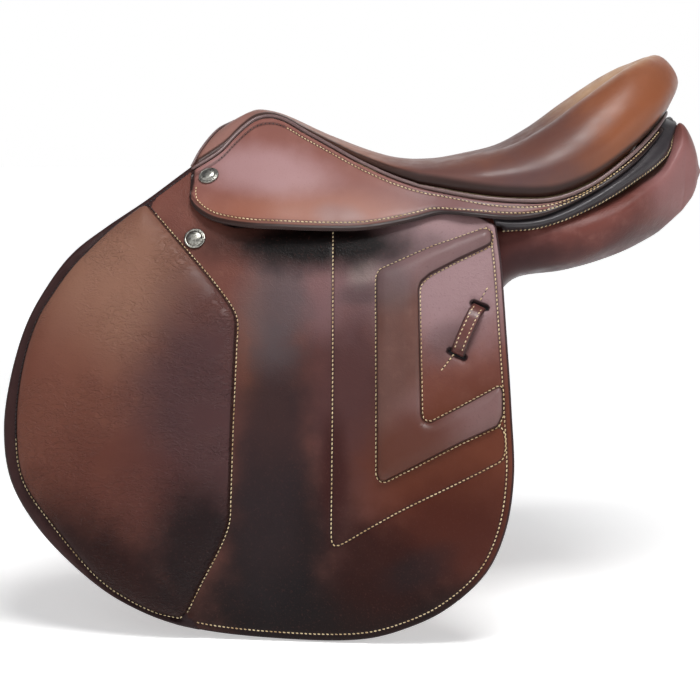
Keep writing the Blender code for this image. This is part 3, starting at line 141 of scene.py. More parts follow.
def smooth_curve(points, steps, closed=False):
    """Points on a centripetal spline through the given ones."""
    pts = np.array(points, float)
    count = len(pts)
    out = []
    for k in range(count if closed else count - 1):
        p1, p2 = pts[k], pts[(k + 1) % count]
        p0 = pts[(k - 1) % count] if closed or k > 0 else p1 * 2 - p2
        p3 = pts[(k + 2) % count] if closed or k + 2 < count else p2 * 2 - p1
        gaps = [max(np.linalg.norm(b - a), 1e-9) ** 0.5 for a, b in ((p0, p1), (p1, p2), (p2, p3))]
        m1 = ((p1 - p0) / gaps[0] - (p2 - p0) / (gaps[0] + gaps[1]) + (p2 - p1) / gaps[1]) * gaps[1]
        m2 = ((p2 - p1) / gaps[1] - (p3 - p1) / (gaps[1] + gaps[2]) + (p3 - p2) / gaps[2]) * gaps[1]
        for step in range(steps):
            t = step / steps
            out.append(p1 * (2 * t ** 3 - 3 * t ** 2 + 1) + m1 * (t ** 3 - 2 * t ** 2 + t)
                       + p2 * (-2 * t ** 3 + 3 * t ** 2) + m2 * (t ** 3 - t ** 2))
    if not closed:
        out.append(pts[-1])
    return np.array(out)


def running(points):
    """Length of a line up to each of its points."""
    return np.concatenate([[0.0], np.cumsum(np.linalg.norm(np.diff(points, axis=0), axis=1))])


def read_at(points, lengths, targets):
    """Points of a line at the given lengths along it."""
    return np.stack([np.interp(targets, lengths, points[:, k]) for k in range(points.shape[1])], -1)


def evenly(points, count):
    """A line read at an even spacing."""
    lengths = running(points)
    return read_at(points, lengths, np.linspace(0.0, lengths[-1], count))


def spaced(points, step, closed=False):
    """The same line with points about one step apart."""
    pts = np.array(points, float)
    if closed:
        pts = np.concatenate([pts, pts[:1]])
    count = max(2, int(running(pts)[-1] / step) + 1)
    out = evenly(pts, count)
    return out[:-1] if closed else out


def distance_to(line, pts, closed=False):
    """Distance of each point from a line."""
    a = line if closed else line[:-1]
    b = np.roll(line, -1, axis=0) if closed else line[1:]
    run = b - a
    squares = np.maximum((run ** 2).sum(1), 1e-14)
    best = np.full(len(pts), 9.0)
    for start in range(0, len(pts), 4000):
        part = pts[start:start + 4000]
        gap = part[:, None, :] - a[None]
        share = np.clip((gap * run).sum(2) / squares, 0, 1)
        away = np.linalg.norm(gap - share[..., None] * run, axis=2)
        best[start:start + 4000] = away.min(1)
    return best


def inside(polygon, pts):
    """Whether each point is inside a closed outline."""
    a = polygon
    b = np.roll(polygon, -1, axis=0)
    hits = np.zeros(len(pts), int)
    for p, q in zip(a, b):
        crosses = (p[1] > pts[:, 1]) != (q[1] > pts[:, 1])
        rise = q[1] - p[1] if abs(q[1] - p[1]) > 1e-12 else 1e-12
        hits += crosses & (pts[:, 0] < (q[0] - p[0]) * (pts[:, 1] - p[1]) / rise + p[0])
    return hits % 2 == 1


def beside(line, distance, closed=False):
    """A line moved to its left, without the points that would fold back over it."""
    if closed:
        run = np.roll(line, -1, axis=0) - np.roll(line, 1, axis=0)
    else:
        run = np.gradient(line, axis=0)
    moved = line + unit(np.stack([-run[:, 1], run[:, 0]], -1)) * distance
    return moved[distance_to(line, moved, closed) > abs(distance) * 0.96]


def inward(outline):
    """1 where the inside of an outline lies to the left of its run, else -1."""
    x, y = outline[:, 0], outline[:, 1]
    return 1.0 if (x * np.roll(y, -1) - np.roll(x, -1) * y).sum() > 0 else -1.0


def smoothstep(low, high, value):
    """0 below low, 1 above high and a soft step between them."""
    t = np.clip((value - low) / (high - low), 0, 1)
    return t * t * (3 - 2 * t)


# Meshes

FAR_FROM_EDGE = 0.05
TRIANGLE_HEIGHT = 0.866


def cut_sheet(outline, seams=(), holes=(), spacing=0.004, edge_rings=(0.0006, 0.0014, 0.0028, 0.005),
              seam_rings=(0.0, 0.0011, 0.0026)):
    """Triangles over a flat outline, with points close together along its edge and its seams."""
    cell_size = 0.0015
    around = [(i, j) for i in (-1, 0, 1) for j in (-1, 0, 1)]
    chosen = []
    taken = {}

    def offer(points, gap):
        for x, y in points:
            cell = (int(x / cell_size), int(y / cell_size))
            near = [p for i, j in around for p in taken.get((cell[0] + i, cell[1] + j), ())]
            if all((x - u) ** 2 + (y - v) ** 2 > gap * gap for u, v in near):
                taken.setdefault(cell, []).append((x, y))
                chosen.append((x, y))

    edges = []
    for loop in (outline, *holes):
        first = len(chosen)
        offer(loop, 0.0)
        count = len(chosen) - first
        edges += [(first + k, first + (k + 1) % count) for k in range(count)]
    for seam in seams:
        for ring in seam_rings:
            for distance in ((ring, -ring) if ring else (0.0,)):
                line = seam if ring == 0.0 else beside(seam, distance)
                offer(line[inside(outline, line)], 0.0005)
    for ring in edge_rings:
        line = beside(outline, ring * inward(outline), True)
        offer(line[inside(outline, line)], 0.0005)
    low, high = outline.min(0), outline.max(0)
    columns = np.arange(low[0], high[0], spacing)
    rows = np.arange(low[1], high[1], spacing * TRIANGLE_HEIGHT)
    grid = np.array([(x + (k % 2) * spacing / 2, y) for k, y in enumerate(rows) for x in columns])
    grid = grid[inside(outline, grid)]
    clear = spacing * 0.35
    keep = distance_to(outline, grid, True) > edge_rings[-1] + clear
    for seam in seams:
        keep &= distance_to(seam, grid) > seam_rings[-1] + clear
    for hole in holes:
        keep &= ~inside(hole, grid) & (distance_to(hole, grid, True) > clear)
    chosen.extend(map(tuple, grid[keep]))
    verts, _, faces = delaunay_2d_cdt([Vector(p) for p in chosen], edges, [], 1, 1e-7)[:3]
    verts = np.array([tuple(v) for v in verts])
    for hole in holes:
        cut_out = inside(hole, np.array([verts[list(f)].mean(0) for f in faces]))
        faces = [f for f, gone in zip(faces, cut_out) if not gone]
    return verts, [tuple(f) for f in faces]


def piece(name, verts, faces, looks, rest, side=1.0, edge=None, seam=None, slots=None):
    """A mesh object. rest holds where each point is on the unbent material, which its textures follow."""
    verts = np.array(verts, float)
    rest = np.array(rest, float)
    # Where the strokes sit, the same on both sides: real wear and stains, and painted shade and highlights
    wear_and_painted_light = rest.copy()
    if side < 0:
        verts = verts * (1, -1, 1)
        faces = [tuple(reversed(f)) for f in faces]
        rest = rest + (0.0, 0.0, 0.5)
    mesh = bpy.data.meshes.new(name)
    mesh.from_pydata(verts.tolist(), [], faces)
    for look in (looks if isinstance(looks, (list, tuple)) else [looks]):
        mesh.materials.append(look)
    if slots is not None:
        mesh.polygons.foreach_set("material_index", np.array(slots, np.int32))
    for key, values in (("rest", rest), ("wear_and_painted_light", wear_and_painted_light)):
        made = mesh.attributes.new(key, "FLOAT_VECTOR", "POINT")
        made.data.foreach_set("vector", values.astype(np.float32).ravel())
    for key, values in (("edge", edge), ("seam", seam)):
        values = np.full(len(verts), FAR_FROM_EDGE) if values is None else np.array(values)
        made = mesh.attributes.new(key, "FLOAT", "POINT")
        made.data.foreach_set("value", values.astype(np.float32))
    mesh.validate()
    mesh.shade_smooth()
    made = bpy.data.objects.new(name, mesh)
    bpy.context.scene.collection.objects.link(made)
    return made


def two_faced(flat, faces, outer, inner):
    """Points and faces of a closed sheet from its flat triangles and its two surfaces."""
    count = len(flat)
    counted = {}
    for f in faces:
        for a, b in zip(f, f[1:] + f[:1]):
            counted[(a, b)] = counted.get((a, b), 0) + 1
    verts = np.concatenate([outer, inner])
    rings = list(faces) + [tuple(k + count for k in reversed(f)) for f in faces]
    for a, b in counted:
        if (b, a) not in counted:
            rings.append((b, a, a + count, b + count))
    return verts, rings


def bull_nose(distance, thickness, radius=None):
    """How far each face of a sheet draws in towards the middle near its edge."""
    radius = radius or thickness / 2
    share = 1.0 - np.clip(distance / radius, 0, 1)
    return thickness / 2 * (1.0 - np.sqrt(np.clip(1.0 - share ** 2, 0, 1)))


def add_sheet(name, outline, looks, inner, thickness, side, seams=(), holes=(), relief=None, nose=None,
              bound=None, **cut):
    """A cut piece on the side: flat outline in x and height, an inner offset and a thickness.

    relief gives how far the outer face stands out, and bound the distances that darken its edge.
    """
    flat, faces = cut_sheet(outline, seams, holes, **cut)
    edge = np.min([distance_to(loop, flat, True) for loop in (outline, *holes)], axis=0)
    seam = np.full(len(flat), FAR_FROM_EDGE)
    for line in seams:
        seam = np.minimum(seam, distance_to(line, flat))
    draw = bull_nose(edge, thickness, nose)
    lift = relief(flat, edge, seam) if relief else 0.0
    outer = side_points(flat, inner + thickness - draw + lift)
    under = side_points(flat, inner + draw)
    verts, rings = two_faced(flat, faces, outer, under)
    sheet = np.stack([flat[:, 0], flat[:, 1] + fold_line(flat[:, 0]), np.zeros(len(flat))], -1)
    rest = np.concatenate([sheet, sheet + (0, 0, 0.2)])
    if bound:
        edge = bound(flat, edge)
    return piece(name, verts, rings, looks, rest, side, np.tile(edge, 2), np.tile(seam, 2))


def add_grid(name, outer, inner, looks, side, edge=None, seam=None, rest=None):
    """A closed sheet between two grids of points."""
    rows, cols = outer.shape[:2]
    index = np.arange(rows * cols).reshape(rows, cols)
    corners = [index[:-1, :-1], index[1:, :-1], index[1:, 1:], index[:-1, 1:]]
    faces = [tuple(f) for f in np.stack(corners, -1).reshape(-1, 4).tolist()]
    flat_outer = outer.reshape(-1, 3)
    verts, rings = two_faced(flat_outer, faces, flat_outer, inner.reshape(-1, 3))
    rest = np.tile((outer if rest is None else rest).reshape(-1, 3), (2, 1))
    tiled = [None if v is None else np.tile(v.reshape(-1), 2) for v in (edge, seam)]
    return piece(name, verts, rings, looks, rest, side, *tiled)


def grid_normals(grid, towards=None):
    """Normals of a grid of points, turned so that they mostly point along an axis where one is given."""
    normals = unit(np.cross(np.gradient(grid, axis=0), np.gradient(grid, axis=1)))
    return normals if towards is None else normals * np.sign(normals[..., towards].mean())


def both_sides(rows):
    """Rows of one side and their mirror image, which share the last row."""
    return np.concatenate([rows, (rows[:-1] * (1, -1, 1))[::-1]])


def ring_faces(rows, cols):
    """Faces between rings of points, from one ring to the next."""
    faces = []
    for i in range(rows - 1):
        for k in range(cols):
            m = (k + 1) % cols
            faces.append((i * cols + k, i * cols + m, (i + 1) * cols + m, (i + 1) * cols + k))
    return faces


def add_tube(name, path, radius, looks, sides=12):
    """A round cord of leather along a path, with rounded ends."""
    run = unit(np.gradient(path, axis=0))
    across = unit(np.cross(run, (0, 0, 1.0)))
    up = np.cross(across, run)
    radii = np.full(len(path), radius)
    radii[[0, -1]] *= 0.45
    radii[[1, -2]] *= 0.9
    turns = np.linspace(0, math.tau, sides, endpoint=False)
    ring = across[:, None] * np.cos(turns)[None, :, None] + up[:, None] * np.sin(turns)[None, :, None]
    points = path[:, None] + ring * radii[:, None, None]
    count = len(path)
    faces = ring_faces(count, sides)
    faces.append(tuple(reversed(range(sides))))
    faces.append(tuple((count - 1) * sides + j for j in range(sides)))
    lengths = running(path)
    flat = [np.repeat(lengths, sides), np.tile(turns * radius, count), np.zeros(count * sides)]
    return piece(name, points.reshape(-1, 3), faces, looks, np.stack(flat, -1))


# Stitching

def stitch_shape():
    """One stitch of unit length: a thread that dips into the leather at both ends."""
    sides = 6
    stations = ((-0.42, 0.62, 0.0), (-0.2, 1.0, 0.35), (0.2, 1.0, 0.35), (0.42, 0.62, 0.0))
    verts = [(-0.5, 0.0, -0.55)]
    for along, width, lift in stations:
        for k in range(sides):
            angle = math.tau * k / sides
            verts.append((along, width * math.cos(angle), lift + width * math.sin(angle)))
    verts.append((0.5, 0.0, -0.55))
    faces = [(0, 1 + (k + 1) % sides, 1 + k) for k in range(sides)]
    for ring in range(len(stations) - 1):
        a, b = 1 + ring * sides, 1 + (ring + 1) * sides
        faces += [(a + k, a + (k + 1) % sides, b + (k + 1) % sides, b + k) for k in range(sides)]
    last = 1 + (len(stations) - 1) * sides
    faces += [(last + k, last + (k + 1) % sides, len(verts) - 1) for k in range(sides)]
    return np.array(verts), faces


def hole_shadow_shape():
    """One awl hole: a small dark disc that sits in the leather, a painted shadow that stands for the hole.
    """
    sides = 6
    turns = [math.tau * k / sides for k in range(sides)]
    verts = [(0.0, 0.0, 0.12)] + [(math.cos(turn), math.sin(turn), -0.25) for turn in turns]
    return np.array(verts), [(0, 1 + k, 1 + (k + 1) % sides) for k in range(sides)]


def add_stitches(name, runs, side, slant=0.14, thread=None, share=None):
    """Stitches along lines. Each run is its points and the same points a little further out."""
    sizes = bpy.context.scene.saddle_sizes
    pitch = sizes.stitch_pitch
    radius = sizes.thread_diameter / 2
    length = pitch * (share or sizes.stitch_share)
    shape, faces = stitch_shape()
    hole, hole_faces = hole_shadow_shape()
    verts, rings, slots, rest = [], [], [], []
    total = 0
    for base, above in runs:
        count = max(2, int(running(base)[-1] / pitch) + 1)
        centres = evenly(base, count)
        tips = evenly(above, count)
        run = unit(np.gradient(centres, axis=0))
        out = tips - centres
        out = unit(out - run * (out * run).sum(1)[:, None])
        across = np.cross(out, run)
        angle = run * math.cos(slant) + across * math.sin(slant)
        beside_it = np.cross(out, angle)
        for k in range(count):
            turned = (shape[:, :1] * length * angle[k] + shape[:, 1:2] * radius * beside_it[k]
                      + shape[:, 2:] * radius * out[k])
            verts.append(centres[k] + turned)
            rings += [tuple(i + total for i in f) for f in faces]
            slots += [0] * len(faces)
            rest.append(shape * (length, radius, radius) + (k * 0.01, total * 1e-5, 0))
            total += len(shape)
            # Between two stitches, a small dark disc: the painted shadow of the awl hole
            if k + 1 < count:
                middle = (centres[k] + centres[k + 1]) / 2
                placed = hole[:, :1] * angle[k] + hole[:, 1:2] * beside_it[k] + hole[:, 2:] * out[k]
                verts.append(middle + placed * radius * 1.15)
                rings += [tuple(i + total for i in f) for f in hole_faces]
                slots += [1] * len(hole_faces)
                rest.append(hole * radius)
                total += len(hole)
    looks = [thread or linen_thread(), awl_hole_shadow()]
    return piece(name, np.concatenate(verts), rings, looks, np.concatenate(rest), side, slots=slots)


# Materials

def linear(colour):
    """An sRGB hex colour as linear numbers."""
    parts = [int(colour[k:k + 2], 16) / 255 for k in (1, 3, 5)]
    return tuple(c / 12.92 if c <= 0.04045 else ((c + 0.055) / 1.055) ** 2.4 for c in parts) + (1.0,)


def node(tree, kind, links=(), values=(), **settings):
    """Adds a node with its settings, its fixed inputs and its links."""
    made = tree.nodes.new(kind)
    for key, value in settings.items():
        setattr(made, key, value)
    for socket, value in values:
        made.inputs[socket].default_value = value
    for socket, source in links:
        tree.links.new(source, made.inputs[socket])
    return made


def start_material(name):
    """A new material with its tree and its shader."""
    made = bpy.data.materials.new(name)
    made.use_nodes = True
    return made, made.node_tree, made.node_tree.nodes["Principled BSDF"]


def attribute(tree, name, socket="Vector"):
    """A value that the mesh carries at each point."""
    return node(tree, "ShaderNodeAttribute", attribute_name=name).outputs[socket]


def mix(tree, factor, low, high):
    """Mixes two colours. Each may be a socket or a hex colour, and factor a socket or a number."""
    made = node(tree, "ShaderNodeMix", data_type="RGBA")
    for socket, value in ((0, factor), (6, low), (7, high)):
        if isinstance(value, bpy.types.NodeSocket):
            tree.links.new(value, made.inputs[socket])
        else:
            made.inputs[socket].default_value = linear(value) if isinstance(value, str) else value
    return made.outputs[2]


def ramp(tree, value, low, high, to_low=0.0, to_high=1.0):
    """A soft step from one number to another."""
    made = node(tree, "ShaderNodeMapRange", [("Value", value)],
                [("From Min", low), ("From Max", high), ("To Min", to_low), ("To Max", to_high)],
                interpolation_type="SMOOTHSTEP")
    return made.outputs["Result"]


def noise(tree, where, millimetres, detail=3.0, roughness=0.55, stretch=(1, 1, 1)):
    """Noise whose spots are about so many millimetres across."""
    scaled = node(tree, "ShaderNodeVectorMath", [(0, where)], [(1, stretch)], operation="MULTIPLY")
    made = node(tree, "ShaderNodeTexNoise", [("Vector", scaled.outputs[0])],
                [("Scale", 1000.0 / millimetres), ("Detail", detail), ("Roughness", roughness)])
    return made.outputs["Fac"]


def wave(tree, where, millimetres, distortion, direction):
    """Even bands, one every so many millimetres along an axis, or along x where they run diagonally."""
    turns = 10 if direction == "DIAGONAL" else 20
    scale = 1000.0 * math.tau / turns / millimetres
    values = [("Scale", scale), ("Distortion", distortion)]
    made = node(tree, "ShaderNodeTexWave", [("Vector", where)], values, bands_direction=direction)
    return made.outputs["Fac"]


def add_strokes(tree, colour, strokes, uneven):
    """Soft-edged worn or stained places, and painted shade and highlights: centre, half sizes, turn, colour
    and strength.
    """
    wear_and_painted_light = attribute(tree, "wear_and_painted_light")
    for centre, half, turn, shade, strength in strokes:
        if len(centre) == 2:
            centre, half, turn = (*centre, 0.0), (*half, 1.0), (0, 0, turn)
        local = node(tree, "ShaderNodeMapping", [("Vector", wear_and_painted_light)],
                     [("Location", centre), ("Rotation", tuple(map(math.radians, turn))), ("Scale", half)],
                     vector_type="TEXTURE")
        far = node(tree, "ShaderNodeVectorMath", [(0, local.outputs[0])], operation="LENGTH")
        far = far.outputs["Value"]
        ragged = node(tree, "ShaderNodeMath", [(0, uneven), (2, far)], [(1, 0.6)],
                      operation="MULTIPLY_ADD")
        factor = ramp(tree, ragged.outputs[0], 1.4, 0.4, 0.0, strength)
        colour = mix(tree, factor, colour, shade)
    return colour


WRINKLE_PATCH = 55.0
WRINKLE_WIDTH = 5.0


def wrinkles(tree, rest, millimetres, stretch):
    """Fine raised lines where soft leather has been bent, in patches."""
    waves = noise(tree, rest, millimetres, 3.0, 0.6, stretch)
    off = node(tree, "ShaderNodeMath", [(0, waves)], [(1, 0.5)], operation="SUBTRACT").outputs[0]
    line = ramp(tree, node(tree, "ShaderNodeMath", [(0, off)], operation="ABSOLUTE").outputs[0], 0.0, 0.10)
    patch = ramp(tree, noise(tree, rest, WRINKLE_PATCH, 2.0), 0.36, 0.56)
    return mix(tree, patch, (1.0, 1.0, 1.0, 1.0), line)


def leather(name, base, dark, light, strokes=(), clouds=0.4, streaks=0.2, mottle=34.0, rough=0.42,
            specular=0.35, coat=0.0, grain=1.0, grain_depth=0.00006, crease=9.0, crease_depth=0.00015,
            wrinkle_depth=0.0, stretch=(1, 1, 1), edge_colour="#2a1a18", edge_width=0.0018,
            edge_strength=0.8, seam_shade_strength=0.45):
    """Finished cowhide: dyed through, waxed, with pores, creases, darkened edges, worn places, painted
    shade in its seam grooves and the painted shade and highlights of its strokes.

    mottle, grain and crease are sizes in millimetres. Real pores are about 0.2 mm and would not show,
    so they are drawn about 1 mm apart.
    """
    made, tree, shader = start_material(name)
    rest = attribute(tree, "rest")
    cloudy = noise(tree, rest, mottle, 4.0, 0.55)
    streaky = noise(tree, rest, mottle * 0.3, 5.0, 0.6, stretch)
    colour = mix(tree, ramp(tree, cloudy, 0.36, 0.62, clouds, 0.0), base, dark)
    colour = mix(tree, ramp(tree, streaky, 0.48, 0.78, 0.0, streaks), colour, light)
    ragged = noise(tree, rest, 28.0, 4.0, 0.55)
    uneven = node(tree, "ShaderNodeMath", [(0, ragged)], [(1, 0.5)], operation="SUBTRACT")
    colour = add_strokes(tree, colour, strokes, uneven.outputs[0])
    pores = node(tree, "ShaderNodeTexVoronoi", [("Vector", rest)],
                 [("Scale", 1000.0 / grain), ("Randomness", 1.0)], feature="SMOOTH_F1").outputs["Distance"]
    colour = mix(tree, ramp(tree, pores, 0.5, 0.85, 0.0, 0.22), colour, dark)
    # Dark cut edges, and painted shade in the grooves under the seams
    for key, width, strength in (("seam", 0.0020, seam_shade_strength), ("edge", edge_width, edge_strength)):
        near = ramp(tree, attribute(tree, key, "Fac"), width, width * 0.55, 0.0, strength)
        colour = mix(tree, near, colour, edge_colour)
    tree.links.new(colour, shader.inputs["Base Color"])
    shine = ramp(tree, streaky, 0.3, 0.7, rough - 0.06, rough + 0.08)
    tree.links.new(shine, shader.inputs["Roughness"])
    height = noise(tree, rest, crease, 4.0, 0.6, stretch)
    normal = bump(tree, height, crease_depth)
    if wrinkle_depth:
        normal = bump(tree, wrinkles(tree, rest, WRINKLE_WIDTH, stretch), wrinkle_depth, under=normal)
    tree.links.new(bump(tree, pores, grain_depth, under=normal, invert=True), shader.inputs["Normal"])
    shader.inputs["Specular IOR Level"].default_value = specular
    shader.inputs["Coat Weight"].default_value = coat
    shader.inputs["Coat Roughness"].default_value = 0.3
    return made


def bump(tree, height, depth, strength=1.0, under=None, invert=False):
    """Raises a surface by a height, on top of another bump where one is given."""
    links = [("Height", height)] + ([("Normal", under)] if under else [])
    values = [("Strength", strength), ("Distance", depth)]
    return node(tree, "ShaderNodeBump", links, values, invert=invert).outputs[0]


def linen_thread():
    """Waxed linen thread, laid from three strands: cream, with a soft shine and a twist across it."""
    found = bpy.data.materials.get("waxed linen thread")
    if found:
        return found
    made, tree, shader = start_material("waxed linen thread")
    rest = attribute(tree, "rest")
    colour = bpy.context.scene.saddle_colours.thread
    twist = wave(tree, rest, 0.698, 1.0, "DIAGONAL")
    soiled = noise(tree, rest, 40.0, 2.0)
    shade = mix(tree, ramp(tree, soiled, 0.3, 0.6), "#b39468", colour)
    shade = mix(tree, ramp(tree, twist, 0.2, 0.9, 0.0, 0.25), shade, "#7d5f40")
    tree.links.new(shade, shader.inputs["Base Color"])
    tree.links.new(bump(tree, twist, 0.0001, 0.6), shader.inputs["Normal"])
    shader.inputs["Roughness"].default_value = 0.6
    return made


def awl_hole_shadow():
    """The shadow inside an awl hole, almost black and dull."""
    found = bpy.data.materials.get("painted shadow of an awl hole")
    if found:
        return found
    made, tree, shader = start_material("painted shadow of an awl hole")
    shade = mix(tree, noise(tree, attribute(tree, "rest"), 0.6), "#120907", "#1d100c")
    tree.links.new(shade, shader.inputs["Base Color"])
    shader.inputs["Roughness"].default_value = 0.8
    return made


def metal(name, bright, dull, rough, spot=1.4, depth=0.00008, patina=0.0):
    """A metal with the marks of how it was worked: dents, tarnish in its low places, uneven shine."""
    made, tree, shader = start_material(name)
    where = node(tree, "ShaderNodeTexCoord").outputs["Object"]
    marks = noise(tree, where, spot, 4.0, 0.6)
    cloud = noise(tree, where, spot * 4, 3.0)
    colour = mix(tree, ramp(tree, marks, 0.3, 0.62), dull, bright)
    if patina:
        colour = mix(tree, ramp(tree, cloud, 0.55, 0.75, 0.0, patina), colour, "#2a211c")
    tree.links.new(colour, shader.inputs["Base Color"])
    shine = ramp(tree, cloud, 0.3, 0.7, rough - 0.06, rough + 0.10)
    tree.links.new(shine, shader.inputs["Roughness"])
    tree.links.new(bump(tree, marks, depth), shader.inputs["Normal"])
    shader.inputs["Metallic"].default_value = 1.0
    return made


def beech_ply():
    """Beech veneers glued and lacquered: pale bands where layers show, short dark flecks in the grain."""
    made, tree, shader = start_material("laminated beech")
    where = node(tree, "ShaderNodeTexCoord").outputs["Object"]
    grain = noise(tree, where, 3.0, 5.0, 0.6, (0.12, 1, 1))
    layers = wave(tree, where, 2.856, 1.5, "Z")
    colour = mix(tree, ramp(tree, grain, 0.35, 0.7), "#8a5f38", "#c29866")
    colour = mix(tree, ramp(tree, layers, 0.1, 0.5, 0.35, 0.0), colour, "#6d4526")
    tree.links.new(colour, shader.inputs["Base Color"])
    tree.links.new(bump(tree, grain, 0.0001, 0.5), shader.inputs["Normal"])
    shader.inputs["Roughness"].default_value = 0.4
    shader.inputs["Coat Weight"].default_value = 0.3
    return made


def jute_web():
    """Woven jute webbing: a coarse over-and-under weave of about 1.6 mm yarns, dull and hairy."""
    made, tree, shader = start_material("woven jute webbing")
    rest = attribute(tree, "rest")
    yarns = [wave(tree, rest, 3.206, 0.6, direction) for direction in ("X", "Y")]
    weave = node(tree, "ShaderNodeMath", list(enumerate(yarns)), operation="MULTIPLY").outputs[0]
    colour = mix(tree, ramp(tree, weave, 0.05, 0.6), "#4d3b25", "#a48c62")
    colour = mix(tree, ramp(tree, noise(tree, rest, 14.0), 0.4, 0.7, 0.0, 0.5), colour, "#7b6442")
    tree.links.new(colour, shader.inputs["Base Color"])
    tree.links.new(bump(tree, weave, 0.0005, 0.8), shader.inputs["Normal"])
    shader.inputs["Roughness"].default_value = 0.9
    return made


def latex_foam():
    """Moulded latex foam: cream, dull, with the small open bubbles of its skin."""
    made, tree, shader = start_material("moulded latex foam")
    rest = attribute(tree, "rest")
    bubbles = node(tree, "ShaderNodeTexVoronoi", [("Vector", rest)], [("Scale", 1000.0 / 2.222)])
    bubbles = bubbles.outputs["Distance"]
    colour = mix(tree, ramp(tree, bubbles, 0.0, 0.3), "#8d7a50", "#cbbb8e")
    colour = mix(tree, ramp(tree, noise(tree, rest, 30.0), 0.4, 0.7, 0.0, 0.4), colour, "#b09b69")
    tree.links.new(colour, shader.inputs["Base Color"])
    tree.links.new(bump(tree, bubbles, 0.0004, 0.6), shader.inputs["Normal"])
    shader.inputs["Roughness"].default_value = 0.95
    return made


LOOKS = {}


def look(name):
    """The materials of the saddle, made once each."""
    if not LOOKS:
        LOOKS.update(make_looks(bpy.context.scene.saddle_colours))
    return LOOKS[name]


def make_looks(colours):
    """Every material, with its finish and what that gives the eye."""
    return {
        # Smooth calf, waxed and rubbed by the rider: a broad soft shine, no visible grain, dark at its
        # edge, a painted highlight along the cantle's top
        "seat": leather("waxed calf of the seat", colours.seat, "#633826", "#8f5c42", SEAT_STROKES, 0.25,
                        0.12, 40.0, rough=0.40, specular=0.2, coat=0.12, grain=0.9, grain_depth=0.00003,
                        crease=16.0, crease_depth=0.00006, edge_colour="#1c0c07", edge_width=0.013,
                        edge_strength=0.85),
        # Firm curried butt with a waxed face: flat and even, with a burnished dark hem and a painted mauve
        # sheen high on the lobe
        "skirt": leather("waxed bridle leather", colours.skirt, "#724840", "#98695f", SKIRT_STROKES, 0.3,
                         0.2, 40.0, rough=0.36, specular=0.25, coat=0.05, grain=0.9, grain_depth=0.00004,
                         crease=14.0, crease_depth=0.0001, edge_colour="#140a0a", edge_width=0.0052,
                         edge_strength=0.93),
        # Flap hide that stirrup leathers and girths have blackened in bands, dull where it is worn; with a
        # painted shadow under the skirt, painted sheen near its top and a bottom darkened partly by painted
        # shade
        "flap": leather("worn flap leather", colours.flap, "#54312b", "#7d5346", FLAP_STROKES, 0.4, 0.25,
                        rough=0.38, specular=0.13, crease=12.0, crease_depth=0.00014,
                        wrinkle_depth=0.00010, edge_colour="#241719", edge_width=0.0022,
                        edge_strength=0.88),
        # Soft calf pulled over foam: fine grain and flat wrinkles across it, a painted highlight at its top
        # and a bottom darkened partly by painted shade
        "knee": leather("soft grained calf", colours.pads, "#56332b", "#855847", KNEE_STROKES, 0.35, 0.25,
                        rough=0.38, specular=0.13, grain=1.2, grain_depth=0.00016, crease=9.0,
                        crease_depth=0.0005, wrinkle_depth=0.0006, stretch=(0.55, 1, 1)),
        # The same calf pulled tight over a narrow roll: smoother, with painted mauve highlights on its
        # upper and lower arms
        "chevron": leather("soft grained calf over foam", "#5e4039", "#49302b", "#7a564c",
                           CHEVRON_STROKES, 0.3, 0.2, rough=0.36, specular=0.22, crease_depth=0.00012,
                           edge_width=0.0012),
        # Calf over wool flock: slightly lumpy, red-brown, dull below, with a painted sheen on its upper
        # rear bulge
        "panel": leather("panel calf over wool flock", colours.panels, "#54302b", "#946660",
                         PANEL_STROKES, 0.4, 0.25, 50.0, rough=0.38, specular=0.14, crease=14.0,
                         crease_depth=0.00025, wrinkle_depth=0.00006),
        # Black-dyed calf drawn over felt: a dark grey satin roll
        "dark": leather("black calf over felt", colours.facing, "#1c181a", "#3a3639", (), 0.4, 0.3,
                        rough=0.42, coat=0.06, crease_depth=0.00005, edge_colour="#100c0c"),
        # Thin calf round a cord: a narrow even line of light along its top
        "welt": leather("calf piping over cord", "#6b5553", "#4d3a3a", "#806a67", (), 0.3, 0.3, 12.0,
                        rough=0.36, coat=0.1, crease_depth=0.00006),
        # Stuffed and stretched strap leather: plain, close-grained, edges stained darker
        "strap": leather("bridle leather strap", colours.straps, "#44271f", "#7d5044", (), 0.4, 0.25,
                         rough=0.38, coat=0.1, crease_depth=0.0001, edge_width=0.0014),
        # Unfinished tanned hide: matt and open-grained
        "under": leather("vegetable tanned underlayer", "#50302a", "#3b2320", "#64403a", (), 0.5, 0.3,
                         rough=0.5, grain=1.2, grain_depth=0.0001, crease_depth=0.0003),
        # Cast nickel silver, polished high and dark in its low places
        "silver": metal("antiqued nickel silver", "#a9a8a0", "#6f6c66", 0.32, 2.2, 0.00003, 0.6),
        # Drop-forged and tumbled stainless steel: even grey with soft dents
        "steel": metal("forged stainless steel", "#a8a8aa", "#7d7d80", 0.34, 1.8, 0.00004),
        # Heat-blued strip: dark blue-grey and slightly streaked
        "spring": metal("blued spring steel", "#56585f", "#3b3c42", 0.38, 2.4, 0.00004, 0.3),
        "wood": beech_ply(),
        "web": jute_web(),
        "foam": latex_foam(),
    }


# Worn, stained and waxed places, and painted shade and highlights: centre, half sizes and turn on the
# leather, colour and strength

